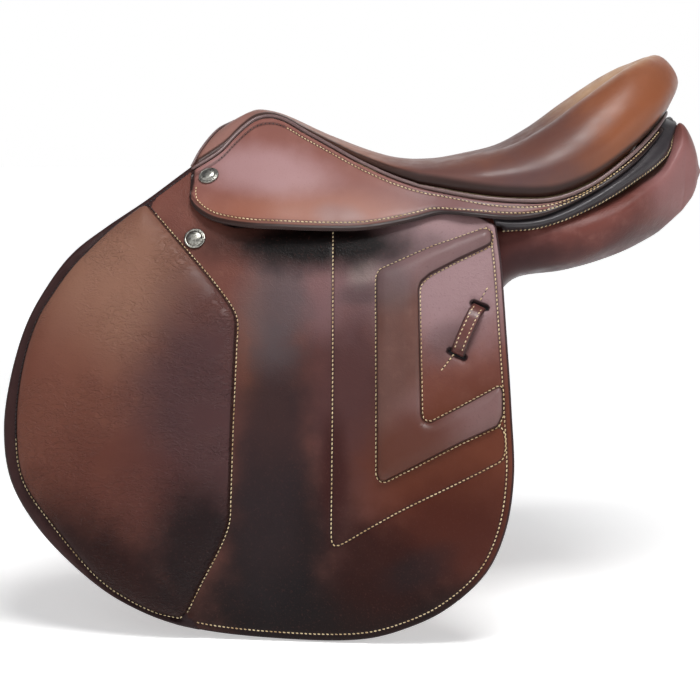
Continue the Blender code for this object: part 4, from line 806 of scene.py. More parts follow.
SEAT_STROKES = [
    ((0.255, 0.0, 0.075), (0.065, 0.600, 0.030), (0, -30, 0), "#7a4428", 0.5),
    ((0.165, 0.0, 0.052), (0.055, 0.600, 0.045), (0, -20, 0), "#4b3434", 0.7),
    ((0.090, 0.0, 0.018), (0.120, 0.600, 0.026), (0, 0, 0), "#4c393c", 0.7),
    # Painted highlight: a tan sheen along the top of the cantle roll, where the top light falls
    ((0.228, 0.0, 0.126), (0.110, 0.090, 0.024), (0, -33, 0), "#cba77c", 0.9),
    ((-0.100, 0.0, 0.055), (0.060, 0.600, 0.040), (0, 0, 0), "#87625a", 0.95),
]
SKIRT_STROKES = [
    ((0.110, -0.004), (0.080, 0.030), 0, "#674a4b", 0.75),
    ((-0.045, -0.008), (0.100, 0.017), 0, "#8a5745", 0.8),
    # Painted highlight: a mauve sheen high on the skirt's lobe
    ((-0.075, 0.026), (0.058, 0.020), -6, "#a07f80", 0.75),
    ((-0.008, -0.010), (0.024, 0.010), -8, "#7a5d5a", 0.6),
    ((0.235, 0.035), (0.075, 0.050), 30, "#85503f", 0.6),
]
FLAP_STROKES = [
    # Painted highlight: a mauve sheen over the upper rear of the flap, which leans up towards the top light
    ((0.075, -0.060), (0.090, 0.064), 0, "#907679", 0.85),
    ((0.000, -0.170), (0.042, 0.130), 3, "#3f2829", 0.85),
    # Painted highlight: a mauve sheen at the top of the flap beside the strap line
    ((-0.026, -0.078), (0.036, 0.040), 0, "#75595b", 0.6),
    ((0.085, -0.215), (0.090, 0.060), 25, "#5a2d1c", 0.85),
    ((0.085, -0.275), (0.070, 0.055), 20, "#3d150a", 0.9),
    ((-0.081, -0.125), (0.014, 0.050), 0, "#7c4a36", 0.8),
    # Darker towards the bottom, here and in the next line: partly darker leather, partly painted shade
    # where the flap hangs away from the top light
    ((0.000, -0.350), (0.210, 0.048), 0, "#0b0303", 0.97),
    ((-0.060, -0.285), (0.062, 0.080), -10, "#0e090c", 0.95),
    ((-0.066, -0.195), (0.036, 0.125), -3, "#261c1e", 0.88),
    # Painted highlight: a grey sheen at the top of the worn band
    ((-0.064, -0.090), (0.032, 0.055), -3, "#544a4c", 0.65),
    ((0.025, -0.305), (0.045, 0.045), -20, "#230501", 0.9),
    ((0.060, -0.300), (0.034, 0.016), 25, "#171013", 0.6),
    ((-0.012, -0.225), (0.013, 0.050), 0, "#30110e", 0.75),
    ((0.014, -0.062), (0.016, 0.012), 40, "#8c817c", 0.45),
    ((0.012, -0.080), (0.024, 0.010), 10, "#3b3032", 0.5),
    # Painted shadow: near-black across the flap's top, where the skirt's lower edge shades it
    ((-0.024, -0.040), (0.095, 0.024), 0, "#030101", 0.99),
    ((0.085, -0.118), (0.022, 0.016), 20, "#4a3f42", 0.45),
]
KNEE_STROKES = [
    # Painted highlight: lighter at the top of the pad, where it faces up into the light
    ((-0.205, -0.080), (0.075, 0.065), 30, "#84604f", 0.75),
    ((-0.250, -0.190), (0.060, 0.100), 0, "#643b2e", 0.7),
    ((-0.122, -0.190), (0.060, 0.130), 0, "#3d292c", 0.82),
    ((-0.195, -0.245), (0.075, 0.055), -20, "#4c261f", 0.6),
    # Darker towards the bottom, here and in the next line: partly darker leather, partly painted shade
    # where the pad turns down away from the light
    ((-0.195, -0.322), (0.120, 0.046), -35, "#1c0605", 0.94),
    ((-0.125, -0.292), (0.045, 0.060), 0, "#150b0d", 0.93),
]
CHEVRON_STROKES = [
    # Painted highlight: a mauve sheen on the upper arm
    ((0.075, -0.050), (0.065, 0.022), 20, "#7a6366", 0.6),
    # Painted highlight: a mauve sheen on the lower arm
    ((0.095, -0.170), (0.060, 0.030), 25, "#765a5a", 0.7),
    ((0.050, -0.205), (0.050, 0.030), 25, "#4e2414", 0.8),
    ((0.035, -0.075), (0.022, 0.022), 0, "#4c4244", 0.5),
]
PANEL_STROKES = [
    ((0.150, 0.0, -0.060), (0.060, 0.600, 0.036), (0, 0, 0), "#2c1518", 0.85),
    ((0.235, 0.0, -0.048), (0.080, 0.600, 0.024), (0, -25, 0), "#33181a", 0.8),
    # Painted highlight: a pink-mauve sheen on the upper rear bulge
    ((0.290, 0.0, 0.025), (0.035, 0.600, 0.040), (0, -20, 0), "#8f6767", 0.6),
]


# Shapes shared with the frame

SEAT_RIBS = [
    [(-0.143, 0.080, 0.033), (-0.134, 0.062, 0.050), (-0.121, 0.036, 0.066), (-0.107, 0.0, 0.074)],
    [(-0.118, 0.070, 0.048), (-0.113, 0.057, 0.060), (-0.105, 0.033, 0.0755), (-0.098, 0.0, 0.080)],
    [(-0.089, 0.046, 0.076), (-0.088, 0.040, 0.0795), (-0.086, 0.022, 0.0835), (-0.084, 0.0, 0.0845)],
    [(-0.063, 0.049, 0.076), (-0.063, 0.044, 0.0785), (-0.062, 0.025, 0.0797), (-0.062, 0.0, 0.0800)],
    [(-0.017, 0.082, 0.053), (-0.017, 0.078, 0.0565), (-0.017, 0.050, 0.0597), (-0.017, 0.0, 0.0600)],
    [(0.036, 0.115, 0.026), (0.036, 0.111, 0.033), (0.036, 0.080, 0.0405), (0.036, 0.0, 0.0415)],
    [(0.076, 0.132, 0.014), (0.077, 0.129, 0.026), (0.078, 0.096, 0.0375), (0.078, 0.0, 0.0370)],
    [(0.109, 0.138, 0.007), (0.110, 0.137, 0.025), (0.111, 0.102, 0.042), (0.111, 0.0, 0.0370)],
    [(0.142, 0.139, 0.004), (0.144, 0.139, 0.027), (0.145, 0.106, 0.050), (0.143, 0.0, 0.0420)],
    [(0.175, 0.137, 0.005), (0.178, 0.138, 0.034), (0.177, 0.104, 0.067), (0.168, 0.0, 0.0530)],
    [(0.209, 0.130, 0.017), (0.212, 0.131, 0.050), (0.209, 0.098, 0.090), (0.192, 0.0, 0.0680)],
    [(0.245, 0.111, 0.0415), (0.249, 0.115, 0.072), (0.242, 0.084, 0.113), (0.213, 0.0, 0.0840)],
    [(0.2675, 0.089, 0.0605), (0.274, 0.094, 0.090), (0.262, 0.064, 0.125), (0.228, 0.0, 0.0950)],
    [(0.278, 0.072, 0.0705), (0.288, 0.072, 0.102), (0.273, 0.046, 0.130), (0.237, 0.0, 0.1010)],
    [(0.288, 0.044, 0.079), (0.299, 0.042, 0.110), (0.281, 0.026, 0.1335), (0.243, 0.0, 0.1060)],
    [(0.2955, 0.0, 0.083), (0.303, 0.0, 0.113), (0.285, 0.0, 0.1345), (0.246, 0.0, 0.1080)],
]
WELT_HEIGHTS = np.array([
    (-0.140, 0.064), (-0.132, 0.068), (-0.115, 0.078), (-0.101, 0.092), (-0.086, 0.1035),
    (-0.073, 0.106), (-0.060, 0.103), (-0.038, 0.090), (-0.015, 0.0765), (0.009, 0.0625),
    (0.038, 0.048), (0.062, 0.0385),
])
REAR_RIB = 7
FRONT_STATIONS = 60
REAR_STATIONS = 64


def front_welt():
    """Stations of the welt on the side, in x and height."""
    return evenly(smooth_curve(WELT_HEIGHTS, 12), FRONT_STATIONS)


def welt_line():
    """Stations of one side's welt, from the stud round to the centre of the back."""
    front = side_points(front_welt(), WELT_OFFSET)
    rear = [front[-1]] + [rib[0] for rib in SEAT_RIBS[REAR_RIB:]]
    return np.concatenate([front, evenly(smooth_curve(rear, 12), REAR_STATIONS + 1)[1:]])


def length_beside(line, lengths, point):
    """How far along a line the place nearest to a point lies."""
    run = line[1:] - line[:-1]
    share = np.clip(((point - line[:-1]) * run).sum(1) / (run ** 2).sum(1), 0, 1)
    away = np.linalg.norm(point - line[:-1] - run * share[:, None], axis=1)
    k = int(away.argmin())
    return lengths[k] + np.linalg.norm(run[k]) * share[k]


def read_between(knots, values, where):
    """Cubic reading of values that are known at the knots."""
    k = int(np.clip(np.searchsorted(knots, where) - 1, 0, len(knots) - 2))

    def slope(n):
        low, high = max(n - 1, 0), min(n + 1, len(knots) - 1)
        return (values[high] - values[low]) / (knots[high] - knots[low])

    span = knots[k + 1] - knots[k]
    t = np.clip((where - knots[k]) / span, -0.2, 1.2)
    return (values[k] * (2 * t ** 3 - 3 * t ** 2 + 1) + values[k + 1] * (-2 * t ** 3 + 3 * t ** 2)
            + slope(k) * span * (t ** 3 - 2 * t ** 2 + t) + slope(k + 1) * span * (t ** 3 - t ** 2))


def step_off(toward, along):
    """Step in a direction that clears the welt, however slanted it leaves the welt's line."""
    away = unit(toward)
    return away * (WELT_GAP / np.linalg.norm(away - along * away.dot(along)))


def cover_ribs():
    """The top of the seat, which begins a little away from the welt."""
    edges = np.array([rib[0] for rib in SEAT_RIBS])
    ribs = []
    for k, rib in enumerate(SEAT_RIBS):
        pts = np.array(rib)
        along = edges[min(k + 1, len(edges) - 1)] - edges[max(k - 1, 0)]
        pts[0] = pts[0] + step_off(pts[1] - pts[0], unit(along))
        ribs.append(pts)
    return ribs


def tree_ribs():
    """The underside of the foam: inside the seat's edge and lower."""
    ribs = []
    for rib in SEAT_RIBS:
        edge, _, crest, centre = (np.array(p) for p in rib)
        toward = unit(np.array((centre[0] - edge[0], centre[1] - edge[1], 0.0)))
        start = edge + toward * 0.016 + (0, 0, -0.002)
        end = centre + (0, 0, -0.022)
        rise = max(0.0, crest[2] - edge[2] - (centre[2] - edge[2]) * 0.35) * 0.45
        near = start + (end - start) * 0.3 + (0, 0, rise * 0.8)
        far = start + (end - start) * 0.62 + (0, 0, rise * 0.7)
        ribs.append(np.array([start, near, far, end]))
    return ribs


def seat_half(ribs, steps=26):
    """Rows of points on one side, one row at each station of the welt."""
    line = welt_line()
    lengths = running(line)
    edges = np.array([rib[0] for rib in SEAT_RIBS])
    knots = np.array([length_beside(line, lengths, edge) for edge in edges])
    rows = np.array([evenly(smooth_curve(rib, 12), steps) for rib in ribs])
    hold = 1.0 - np.arange(steps) / (steps - 1)
    values = rows - edges[:, None] * hold[None, :, None]
    half = np.array([read_between(knots, values, where) for where in lengths])
    half += line[:, None] * hold[None, :, None]
    half[:, -1, 1] = 0.0
    half[-1, :, 1] = 0.0
    return half


def whole_of(half):
    """Both sides of a half grid whose last column is the centre line: columns from side to side."""
    other = half[:, :-1][:, ::-1] * (1, -1, 1)
    return np.concatenate([half, other], axis=1)


FLAP_OUTLINE = [
    (-0.146, 0.020), (-0.180, -0.005), (-0.215, -0.028), (-0.2435, -0.050), (-0.265, -0.079),
    (-0.281, -0.110), (-0.293, -0.155), (-0.297, -0.196), (-0.290, -0.237), (-0.265, -0.277),
    (-0.221, -0.318), (-0.189, -0.338), (-0.139, -0.356), (-0.054, -0.364), (0.014, -0.362),
    (0.048, -0.352), (0.081, -0.335), (0.114, -0.304), (0.130, -0.270), (0.1375, -0.225),
    (0.136, -0.170), (0.133, -0.108), (0.130, -0.050), (0.127, -0.024),
]
FLAP_HIDDEN_TOP = [
    (0.127, 0.0055), (0.110, 0.0150), (0.090, 0.022), (0.062, 0.0295), (0.040, 0.039), (0.0145, 0.0525),
    (0.0125, 0.0525), (0.0115, 0.016), (-0.098, 0.016), (-0.106, 0.0185), (-0.1125, 0.0215),
    (-0.1135, 0.050), (-0.1275, 0.0605), (-0.1325, 0.0680), (-0.1395, 0.0700),
]
KNEE_SEAM = [
    (-0.178, -0.011), (-0.139, -0.0495), (-0.115, -0.075), (-0.098, -0.097), (-0.0955, -0.105),
    (-0.096, -0.127), (-0.098, -0.184), (-0.100, -0.248), (-0.101, -0.266), (-0.107, -0.283),
    (-0.126, -0.319), (-0.138, -0.343),
]
FRONT_SEAM_TOP = [(-0.1442, 0.0158)]
FRONT_SEAM = [
    (-0.144, -0.347), (-0.163, -0.343), (-0.186, -0.333), (-0.212, -0.316), (-0.252, -0.272),
    (-0.278, -0.236), (-0.2845, -0.200), (-0.282, -0.150), (-0.270, -0.106), (-0.255, -0.081),
    (-0.241, -0.062), (-0.222, -0.043), (-0.206, -0.029), (-0.184, -0.013),
]
CHEVRON_OUTLINE = [
    (0.0243, -0.2240), (0.0245, -0.1651), (0.0244, -0.0853), (0.0245, -0.0668), (0.0275, -0.0611),
    (0.0704, -0.0426), (0.0960, -0.0340), (0.1148, -0.0274), (0.1208, -0.0277), (0.1230, -0.0309),
    (0.1228, -0.0382), (0.1195, -0.0411), (0.0956, -0.0518), (0.0700, -0.0646), (0.0623, -0.0712),
    (0.0605, -0.0768), (0.0608, -0.1168), (0.0616, -0.1770), (0.0636, -0.1813), (0.0686, -0.1824),
    (0.0977, -0.1676), (0.1268, -0.1522), (0.1290, -0.1567), (0.1287, -0.1748), (0.1245, -0.1838),
    (0.0933, -0.1981), (0.0601, -0.2152), (0.0310, -0.2299), (0.0260, -0.2288),
]
STRAP_LINE = [
    (-0.013, -0.028), (-0.013, -0.159), (-0.0138, -0.235), (-0.0142, -0.274), (-0.0138, -0.2793),
    (-0.0122, -0.2828), (-0.0092, -0.2833), (0.0175, -0.2684), (0.0443, -0.2533), (0.0870, -0.2321),
    (0.1160, -0.2174), (0.1281, -0.2101), (0.1303, -0.2040), (0.1300, -0.1898), (0.1264, -0.1840),
    (0.1214, -0.1845),
]
KEEPER_SLOTS = [[(0.1056, -0.0860), (0.1168, -0.0902)], [(0.0853, -0.1245), (0.0974, -0.1297)]]
SWEAT_OUTLINE = [
    (-0.170, -0.012), (-0.210, -0.040), (-0.245, -0.080), (-0.262, -0.120), (-0.270, -0.180),
    (-0.262, -0.230), (-0.230, -0.275), (-0.180, -0.315), (-0.110, -0.336), (-0.030, -0.342),
    (0.030, -0.334), (0.080, -0.300), (0.108, -0.240), (0.114, -0.170), (0.116, -0.100),
    (0.116, -0.050), (0.112, -0.028), (0.060, -0.025), (0.0, -0.026), (-0.060, -0.028),
    (-0.120, -0.030), (-0.150, -0.020),
]
KNEE_BLOCK = [
    (-0.196, -0.085), (-0.222, -0.120), (-0.236, -0.165), (-0.232, -0.205), (-0.206, -0.235),
    (-0.188, -0.228), (-0.196, -0.190), (-0.194, -0.150), (-0.182, -0.110), (-0.180, -0.090),
]
CALF_BLOCK = [
    (0.085, -0.105), (0.103, -0.120), (0.105, -0.170), (0.099, -0.220), (0.084, -0.258),
    (0.072, -0.258), (0.078, -0.215), (0.079, -0.165), (0.075, -0.115),
]
GIRTH_WEB_OUTLINE = [
    (-0.092, -0.033), (-0.092, -0.056), (0.054, -0.056), (0.060, -0.030), (0.060, 0.002),
    (-0.012, -0.001), (-0.018, -0.029),
]


def shape_of(points, closed=True, steps=8):
    """Measured points as a smooth line in x and height."""
    return spaced(to_height(smooth_curve(points, steps)), SHEET_SPACING, closed)


# Seat

COVER_THICKNESS = 0.0025
FOAM_GAP = 0.0004


def build_seat():
    """Leather cover with a drawn-in edge, its foam, and the binding of the arch."""
    half = seat_half(cover_ribs())
    top = whole_of(half)
    normals = grid_normals(top, 2)
    lengths = np.array([running(row) for row in half])
    edge = whole_of(np.stack([lengths] * 3, -1))[..., 0]
    draw = bull_nose(edge, 0.005)
    outer = top - normals * (draw * 0.8)[..., None]
    inner = top - normals * COVER_THICKNESS
    cover = add_grid("seat_leather_cover", outer, inner, look("seat"), 1.0, edge, rest=top)
    join_back(cover)
    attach(cover, "saddle")
    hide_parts("seat_cover")
    upper = top - normals * (COVER_THICKNESS + FOAM_GAP)
    foam = add_grid("seat_foam_core", upper, foam_underside(), look("foam"), 1.0, rest=top)
    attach(foam, "saddle")
    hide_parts("seat_foam")
    build_front_binding(half)


def foam_underside():
    """The foam's lower face, from side to side."""
    return whole_of(seat_half(tree_ribs()))


def join_back(cover):
    """Joins the two sides of the cover where they meet behind, so that no seam shows."""
    def change(bm):
        between = [f for f in bm.faces if all(abs(v.co.y) < 1e-7 for v in f.verts)]
        bmesh.ops.delete(bm, geom=between, context="FACES")
        middle = [v for v in bm.verts if abs(v.co.y) < 1e-6]
        bmesh.ops.remove_doubles(bm, verts=middle, dist=1e-6)

    edit_mesh(cover, change)


def build_front_binding(half):
    """Leather over the front of the arch, with a piped edge where it meets the seat."""
    low = seat_half(tree_ribs())[0]
    top = half[0]
    drop = np.array((0, 0, -0.014))
    between = [top * 0.66 + low * 0.34, top * 0.33 + low * 0.67]
    whole = both_sides(np.stack([top] + between + [low, low + drop * 0.5, low + drop], 1))
    normals = grid_normals(whole)
    normals = np.where(normals[..., :1] > 0, -normals, normals)
    band = add_grid("arch_band", whole + normals * 0.003, whole + normals * 0.0008, look("seat"), 1.0)
    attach(band, "saddle")
    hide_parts("arch_facing")
    line = both_sides(top) + normals[:, 0] * 0.0016
    piping = add_tube("arch_piping", evenly(line, 120), 0.0011, look("welt"))
    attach(piping, "saddle")


def build_welt():
    """The piping between seat and skirt, from stud to stud round the back."""
    half = welt_line()
    path = np.concatenate([half[:-1] * (1, -1, 1), half[::-1]])
    welt = add_tube("piped_welt", path, WELT_RADIUS, look("welt"))
    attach(welt, "saddle")
    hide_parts("seat_welt")


# Skirt

SKIRT_LOW_FRONT = [
    (-0.1395, 0.0385), (-0.1365, 0.032), (-0.128, 0.024), (-0.118, 0.018), (-0.102, 0.0125),
    (-0.080, 0.008), (-0.049, 0.0055), (-0.020, 0.004), (0.010, 0.0035), (0.032, 0.0055),
    (0.053, 0.009), (0.068, 0.012), (0.080, 0.0155),
]
SKIRT_REAR_EDGE = [
    (0.092, 0.1505, -0.0065), (0.109, 0.153, -0.008), (0.126, 0.153, -0.010), (0.146, 0.149, -0.011),
    (0.167, 0.1445, -0.008), (0.192, 0.139, 0.002), (0.226, 0.129, 0.021), (0.252, 0.112, 0.0385),
    (0.270, 0.093, 0.0545), (0.2815, 0.075, 0.065), (0.292, 0.046, 0.0735), (0.2985, 0.0, 0.0775),
]
SKIRT_END = FRONT_STATIONS + 50


def skirt_offset(flat):
    """Offset of the skirt's inner face, which stands off further below the welt."""
    tops = np.interp(flat[:, 0], WELT_HEIGHTS[:, 0], WELT_HEIGHTS[:, 1])
    return SKIRT_OFFSET + SKIRT_STAND_OFF * np.maximum(0.0, tops - flat[:, 1] - SKIRT_REST)


def skirt_points(flat, lift):
    """Points over the skirt's inner face."""
    return side_points(flat, skirt_offset(flat) + lift)


def skirt_shares(width):
    """Where the rows of a skirt lie across it: close together at both edges."""
    near = np.array([0.0, 0.0004, 0.001, 0.0018, 0.003, 0.0042, 0.0054, 0.0068]) * min(1.0, width / 0.018)
    middle = np.linspace(near[-1], width - near[-1], 12)[1:-1]
    return np.concatenate([near, middle, width - near[::-1]])


def paired(tops, curve, ease):
    """Points of a curve opposite the given ones: evenly spaced at first, then the nearest ones."""
    lengths = running(curve)
    even = np.linspace(0.0, lengths[-1], len(tops))
    near = np.array([length_beside(curve, lengths, top) for top in tops])
    share = smoothstep(0, ease, np.arange(len(tops)))
    targets = np.maximum.accumulate(even + (near - even) * share)
    return read_at(curve, lengths, targets)


def across_skirt(tops, lows):
    """Rows of points from the welt to the lower edge, and how far along its row each one lies."""
    rows, edges = [], []
    for top, low, along in zip(tops, lows, unit(np.gradient(tops, axis=0))):
        top = top + step_off(low - top, along)
        width = np.linalg.norm(low - top)
        across = skirt_shares(width)
        rows.append(top + (low - top) * (across / width)[:, None])
        edges.append(across)
    return np.array(rows), np.array(edges)


def skirt_grid():
    """The skirt's middle surface, station by station from stud to back, with distances from its edges."""
    low_curve = smooth_curve(SKIRT_LOW_FRONT, 10)
    lengths = running(low_curve)
    shares = np.interp(np.linspace(0, 1, FRONT_STATIONS), [0, 0.12, 0.38, 1.0], [0, 0.17, 0.47, 1.0])
    flats, front_edges = across_skirt(front_welt(), read_at(low_curve, lengths, shares * lengths[-1]))
    front = np.array([skirt_points(flat, SKIRT_THICKNESS / 2) for flat in flats])
    tops = welt_line()[FRONT_STATIONS - 1:]
    fold_end = skirt_points(np.array([SKIRT_LOW_FRONT[-1]]), SKIRT_THICKNESS / 2)[0]
    rear, rear_edges = across_skirt(tops, paired(tops, smooth_curve([fold_end] + SKIRT_REAR_EDGE, 12), 20))
    rear = rear - grid_normals(rear, 1) * SKIRT_THICKNESS / 2
    grid = np.concatenate([front, rear[1:]])
    for _ in range(6):
        part = grid[FRONT_STATIONS - 9:FRONT_STATIONS + 9]
        part[1:-1] = (part[:-2] + part[1:-1] * 2 + part[2:]) / 4
    grid[-1, :, 1] = 0.0
    return grid, np.concatenate([front_edges, rear_edges[1:]])


def end_distances(grid):
    """Distance of each point from the skirt's front edge."""
    return np.array([running(column) for column in grid.transpose(1, 0, 2)]).T


def blend_skirt(made):
    """Bakes the placement of a piece of the skirt into its mesh."""
    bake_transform(made)


def build_skirts():
    """Both skirts, one sheet each, with grooves under the seams, a rounded hem, stitches and nails."""
    grid, edges = (part[:SKIRT_END] for part in skirt_grid())
    front = end_distances(grid)
    widths = edges[:, -1:]
    ends = np.minimum(front, front[-1:] - front)
    edge = np.minimum(np.minimum(edges, widths - edges), ends)
    normals = grid_normals(grid, 1)
    upper = np.abs(edges - np.minimum(WELT_STITCHES, widths * 0.28))
    lower = np.abs(widths - edges - np.minimum(HEM_STITCHES, widths * 0.34))
    seam = np.minimum(np.minimum(upper, lower), np.abs(ends - 0.005))
    half = SKIRT_THICKNESS / 2 - bull_nose(edge, SKIRT_THICKNESS)
    hem = np.minimum(widths - edges, front)
    under_seam = 0.0004 * (1 - smoothstep(0.0, 0.0014, seam))
    groove = under_seam + 0.0007 * np.exp(-((hem - 0.0049) / 0.0007) ** 2)
    outer = grid + normals * (half - groove)[..., None]
    inner = grid - normals * half[..., None]
    sheet = np.stack([grid[..., 0], grid[..., 2] * 0.9, np.zeros(grid.shape[:2])], -1)
    runs = skirt_stitch_runs(grid, edges, normals)
    styles = (("skirt_stitching_", runs[1:], {}),
              ("skirt_dark_stitching_", runs[:1], {"thread": look("dark"), "share": 0.42}))
    for name, side in SIDES:
        skirt = add_grid("skirt_leather_" + name, outer, inner, look("skirt"), side, hem, seam, sheet)
        blend_skirt(skirt)
        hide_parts("skirt_" + name, "skirt_lobe_" + name)
        for label, part, style in styles:
            blend_skirt(add_stitches(label + name, part, side, **style))
        add_stud("skirt_nail_" + name, "skirt_stud_" + name, name)


def skirt_stitch_runs(grid, edges, normals):
    """The row below the welt, and the row round the lower edge."""
    def row(distance, low):
        base, above = [], []
        for points, across, out in zip(grid, edges, normals):
            width = across[-1]
            at = min(distance, width * (0.34 if low else 0.28))
            at = width - at if low else at
            base.append([np.interp(at, across, points[:, k]) for k in range(3)])
            above.append([np.interp(at, across, out[:, k]) for k in range(3)])
        base = np.array(base)
        above = np.array(above)
        return base + above * (SKIRT_THICKNESS / 2 - STITCH_DEPTH), base + above * SKIRT_THICKNESS

    top, top_out = row(WELT_STITCHES, False)
    low, low_out = row(HEM_STITCHES, True)
    front = beside(smooth_curve([(-0.1402, 0.060)] + SKIRT_LOW_FRONT, 10), HEM_STITCHES)
    front = front[(front[:, 1] < 0.047) & (front[:, 0] < 0.070)]
    face = skirt_points(front, SKIRT_THICKNESS - STITCH_DEPTH)
    single = int((low[:, 0] < 0.217).sum())
    hem = np.concatenate([face, low[FRONT_STATIONS:single]])
    hem_out = np.concatenate([skirt_points(front, SKIRT_THICKNESS + 0.001), low_out[FRONT_STATIONS:single]])
    return [(top[7:25], top_out[7:25]), (top[25:-3], top_out[25:-3]), (hem, hem_out)]


STUD_PROFILE = [
    (0.0, 0.0), (0.97, 0.0), (1.0, 0.10), (1.0, 0.24), (0.965, 0.36), (0.90, 0.42), (0.84, 0.40),
    (0.80, 0.36), (0.77, 0.42), (0.72, 0.58), (0.62, 0.76), (0.48, 0.90), (0.30, 0.98), (0.12, 1.0),
    (0.0, 1.0),
]
STUD_SIDES = 40


def add_stud(name, node_name, side_name):
    """A nail head in nickel silver: turned rim, groove and a low dome."""
    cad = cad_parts[node_name]
    pts = np.array([cad.matrix_world @ v.co for v in cad.data.vertices])
    centre = pts.mean(0)
    spread = pts - centre
    normal = np.linalg.svd(spread, full_matrices=False)[2][2]
    side = 1.0 if side_name == "right" else -1.0
    normal = normal if normal[1] * side > 0 else -normal
    heights = spread @ normal
    base = centre + normal * heights.min()
    radius = np.linalg.norm(spread - heights[:, None] * normal, axis=1).max()
    rise = heights.max() - heights.min()
    across = unit(np.cross(normal, (0, 0, 1.0)))
    up = np.cross(across, normal)
    verts = []
    for share, height in STUD_PROFILE:
        for k in range(STUD_SIDES):
            angle = math.tau * k / STUD_SIDES
            out = across * math.cos(angle) + up * math.sin(angle)
            verts.append(base + out * share * radius + normal * height * rise)
    faces = ring_faces(len(STUD_PROFILE), STUD_SIDES)
    stud = piece(name, verts, faces, look("silver"), np.array(verts))
    merge_points(stud)
    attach(stud, "saddle")
    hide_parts(node_name)


def edit_mesh(made, change):
    """Changes a mesh in place and turns its faces outwards."""
    bm = bmesh.new()
    bm.from_mesh(made.data)
    change(bm)
    bmesh.ops.recalc_face_normals(bm, faces=bm.faces)
    bm.to_mesh(made.data)
    bm.free()


def merge_points(made):
    """Joins points that lie in one place, such as the middle of a round cap."""
    edit_mesh(made, lambda bm: bmesh.ops.remove_doubles(bm, verts=bm.verts, dist=1e-5))


# Flap

PAD_SKIN = 0.0012
PAD_RINGS = (0.0007, 0.0018, 0.0035, 0.006, 0.009, 0.0125)


def flap_outline():
    """The flap's seen edge, closed by the top that the skirt hides."""
    seen = to_height(smooth_curve(FLAP_OUTLINE, 8))
    return spaced(np.concatenate([seen, np.array(FLAP_HIDDEN_TOP)]), SHEET_SPACING, True)


def knee_outline():
    """The knee pad, between its two seams."""
    seam = to_height(smooth_curve(KNEE_SEAM, 6))
    front = to_height(smooth_curve(FRONT_SEAM, 6))
    return spaced(np.concatenate([seam, front]), SHEET_SPACING, True)


def edge_line(outline):
    """The row of stitches inside the flap's bottom and rear edge."""
    line = beside(outline, HEM_STITCHES * inward(outline), True)
    bottom = (line[:, 0] > -0.150) & (line[:, 1] < -0.20)
    rear = line[:, 0] > 0.05
    line = line[(line[:, 1] < 0.004) & (bottom | rear)]
    order = np.argsort(np.where(line[:, 1] < -0.25, line[:, 0], 0.5 + line[:, 1]))
    return smooth_curve(line[order][::3], 3)


def on_side(flat, offset):
    """A line on the side with its twin a millimetre further out, for stitches."""
    return side_points(flat, offset), side_points(flat, offset + 0.001)


def blend_flap(made):
    """Bakes the placement of a piece of the flap into its mesh."""
    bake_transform(made)


def stuffed(height, shoulder):
    """Relief of a pad that rises from its sewn edge over a round shoulder."""
    def relief(flat, edge, seam):
        share = 1.0 - np.clip(edge / shoulder, 0, 1)
        return (height - PAD_SKIN) * np.sqrt(np.clip(1.0 - share ** 2.2, 0, 1))

    return relief


def slot_outline(start, end, half=0.0015):
    """A slot with round ends."""
    along = unit(end - start)
    across = np.array((-along[1], along[0]))
    out = []
    for centre, first in ((end, -math.pi / 2), (start, math.pi / 2)):
        for turn in np.linspace(first, first + math.pi, 7):
            out.append(centre + (along * math.cos(turn) + across * math.sin(turn)) * half)
    return spaced(np.array(out), 0.0012, True)


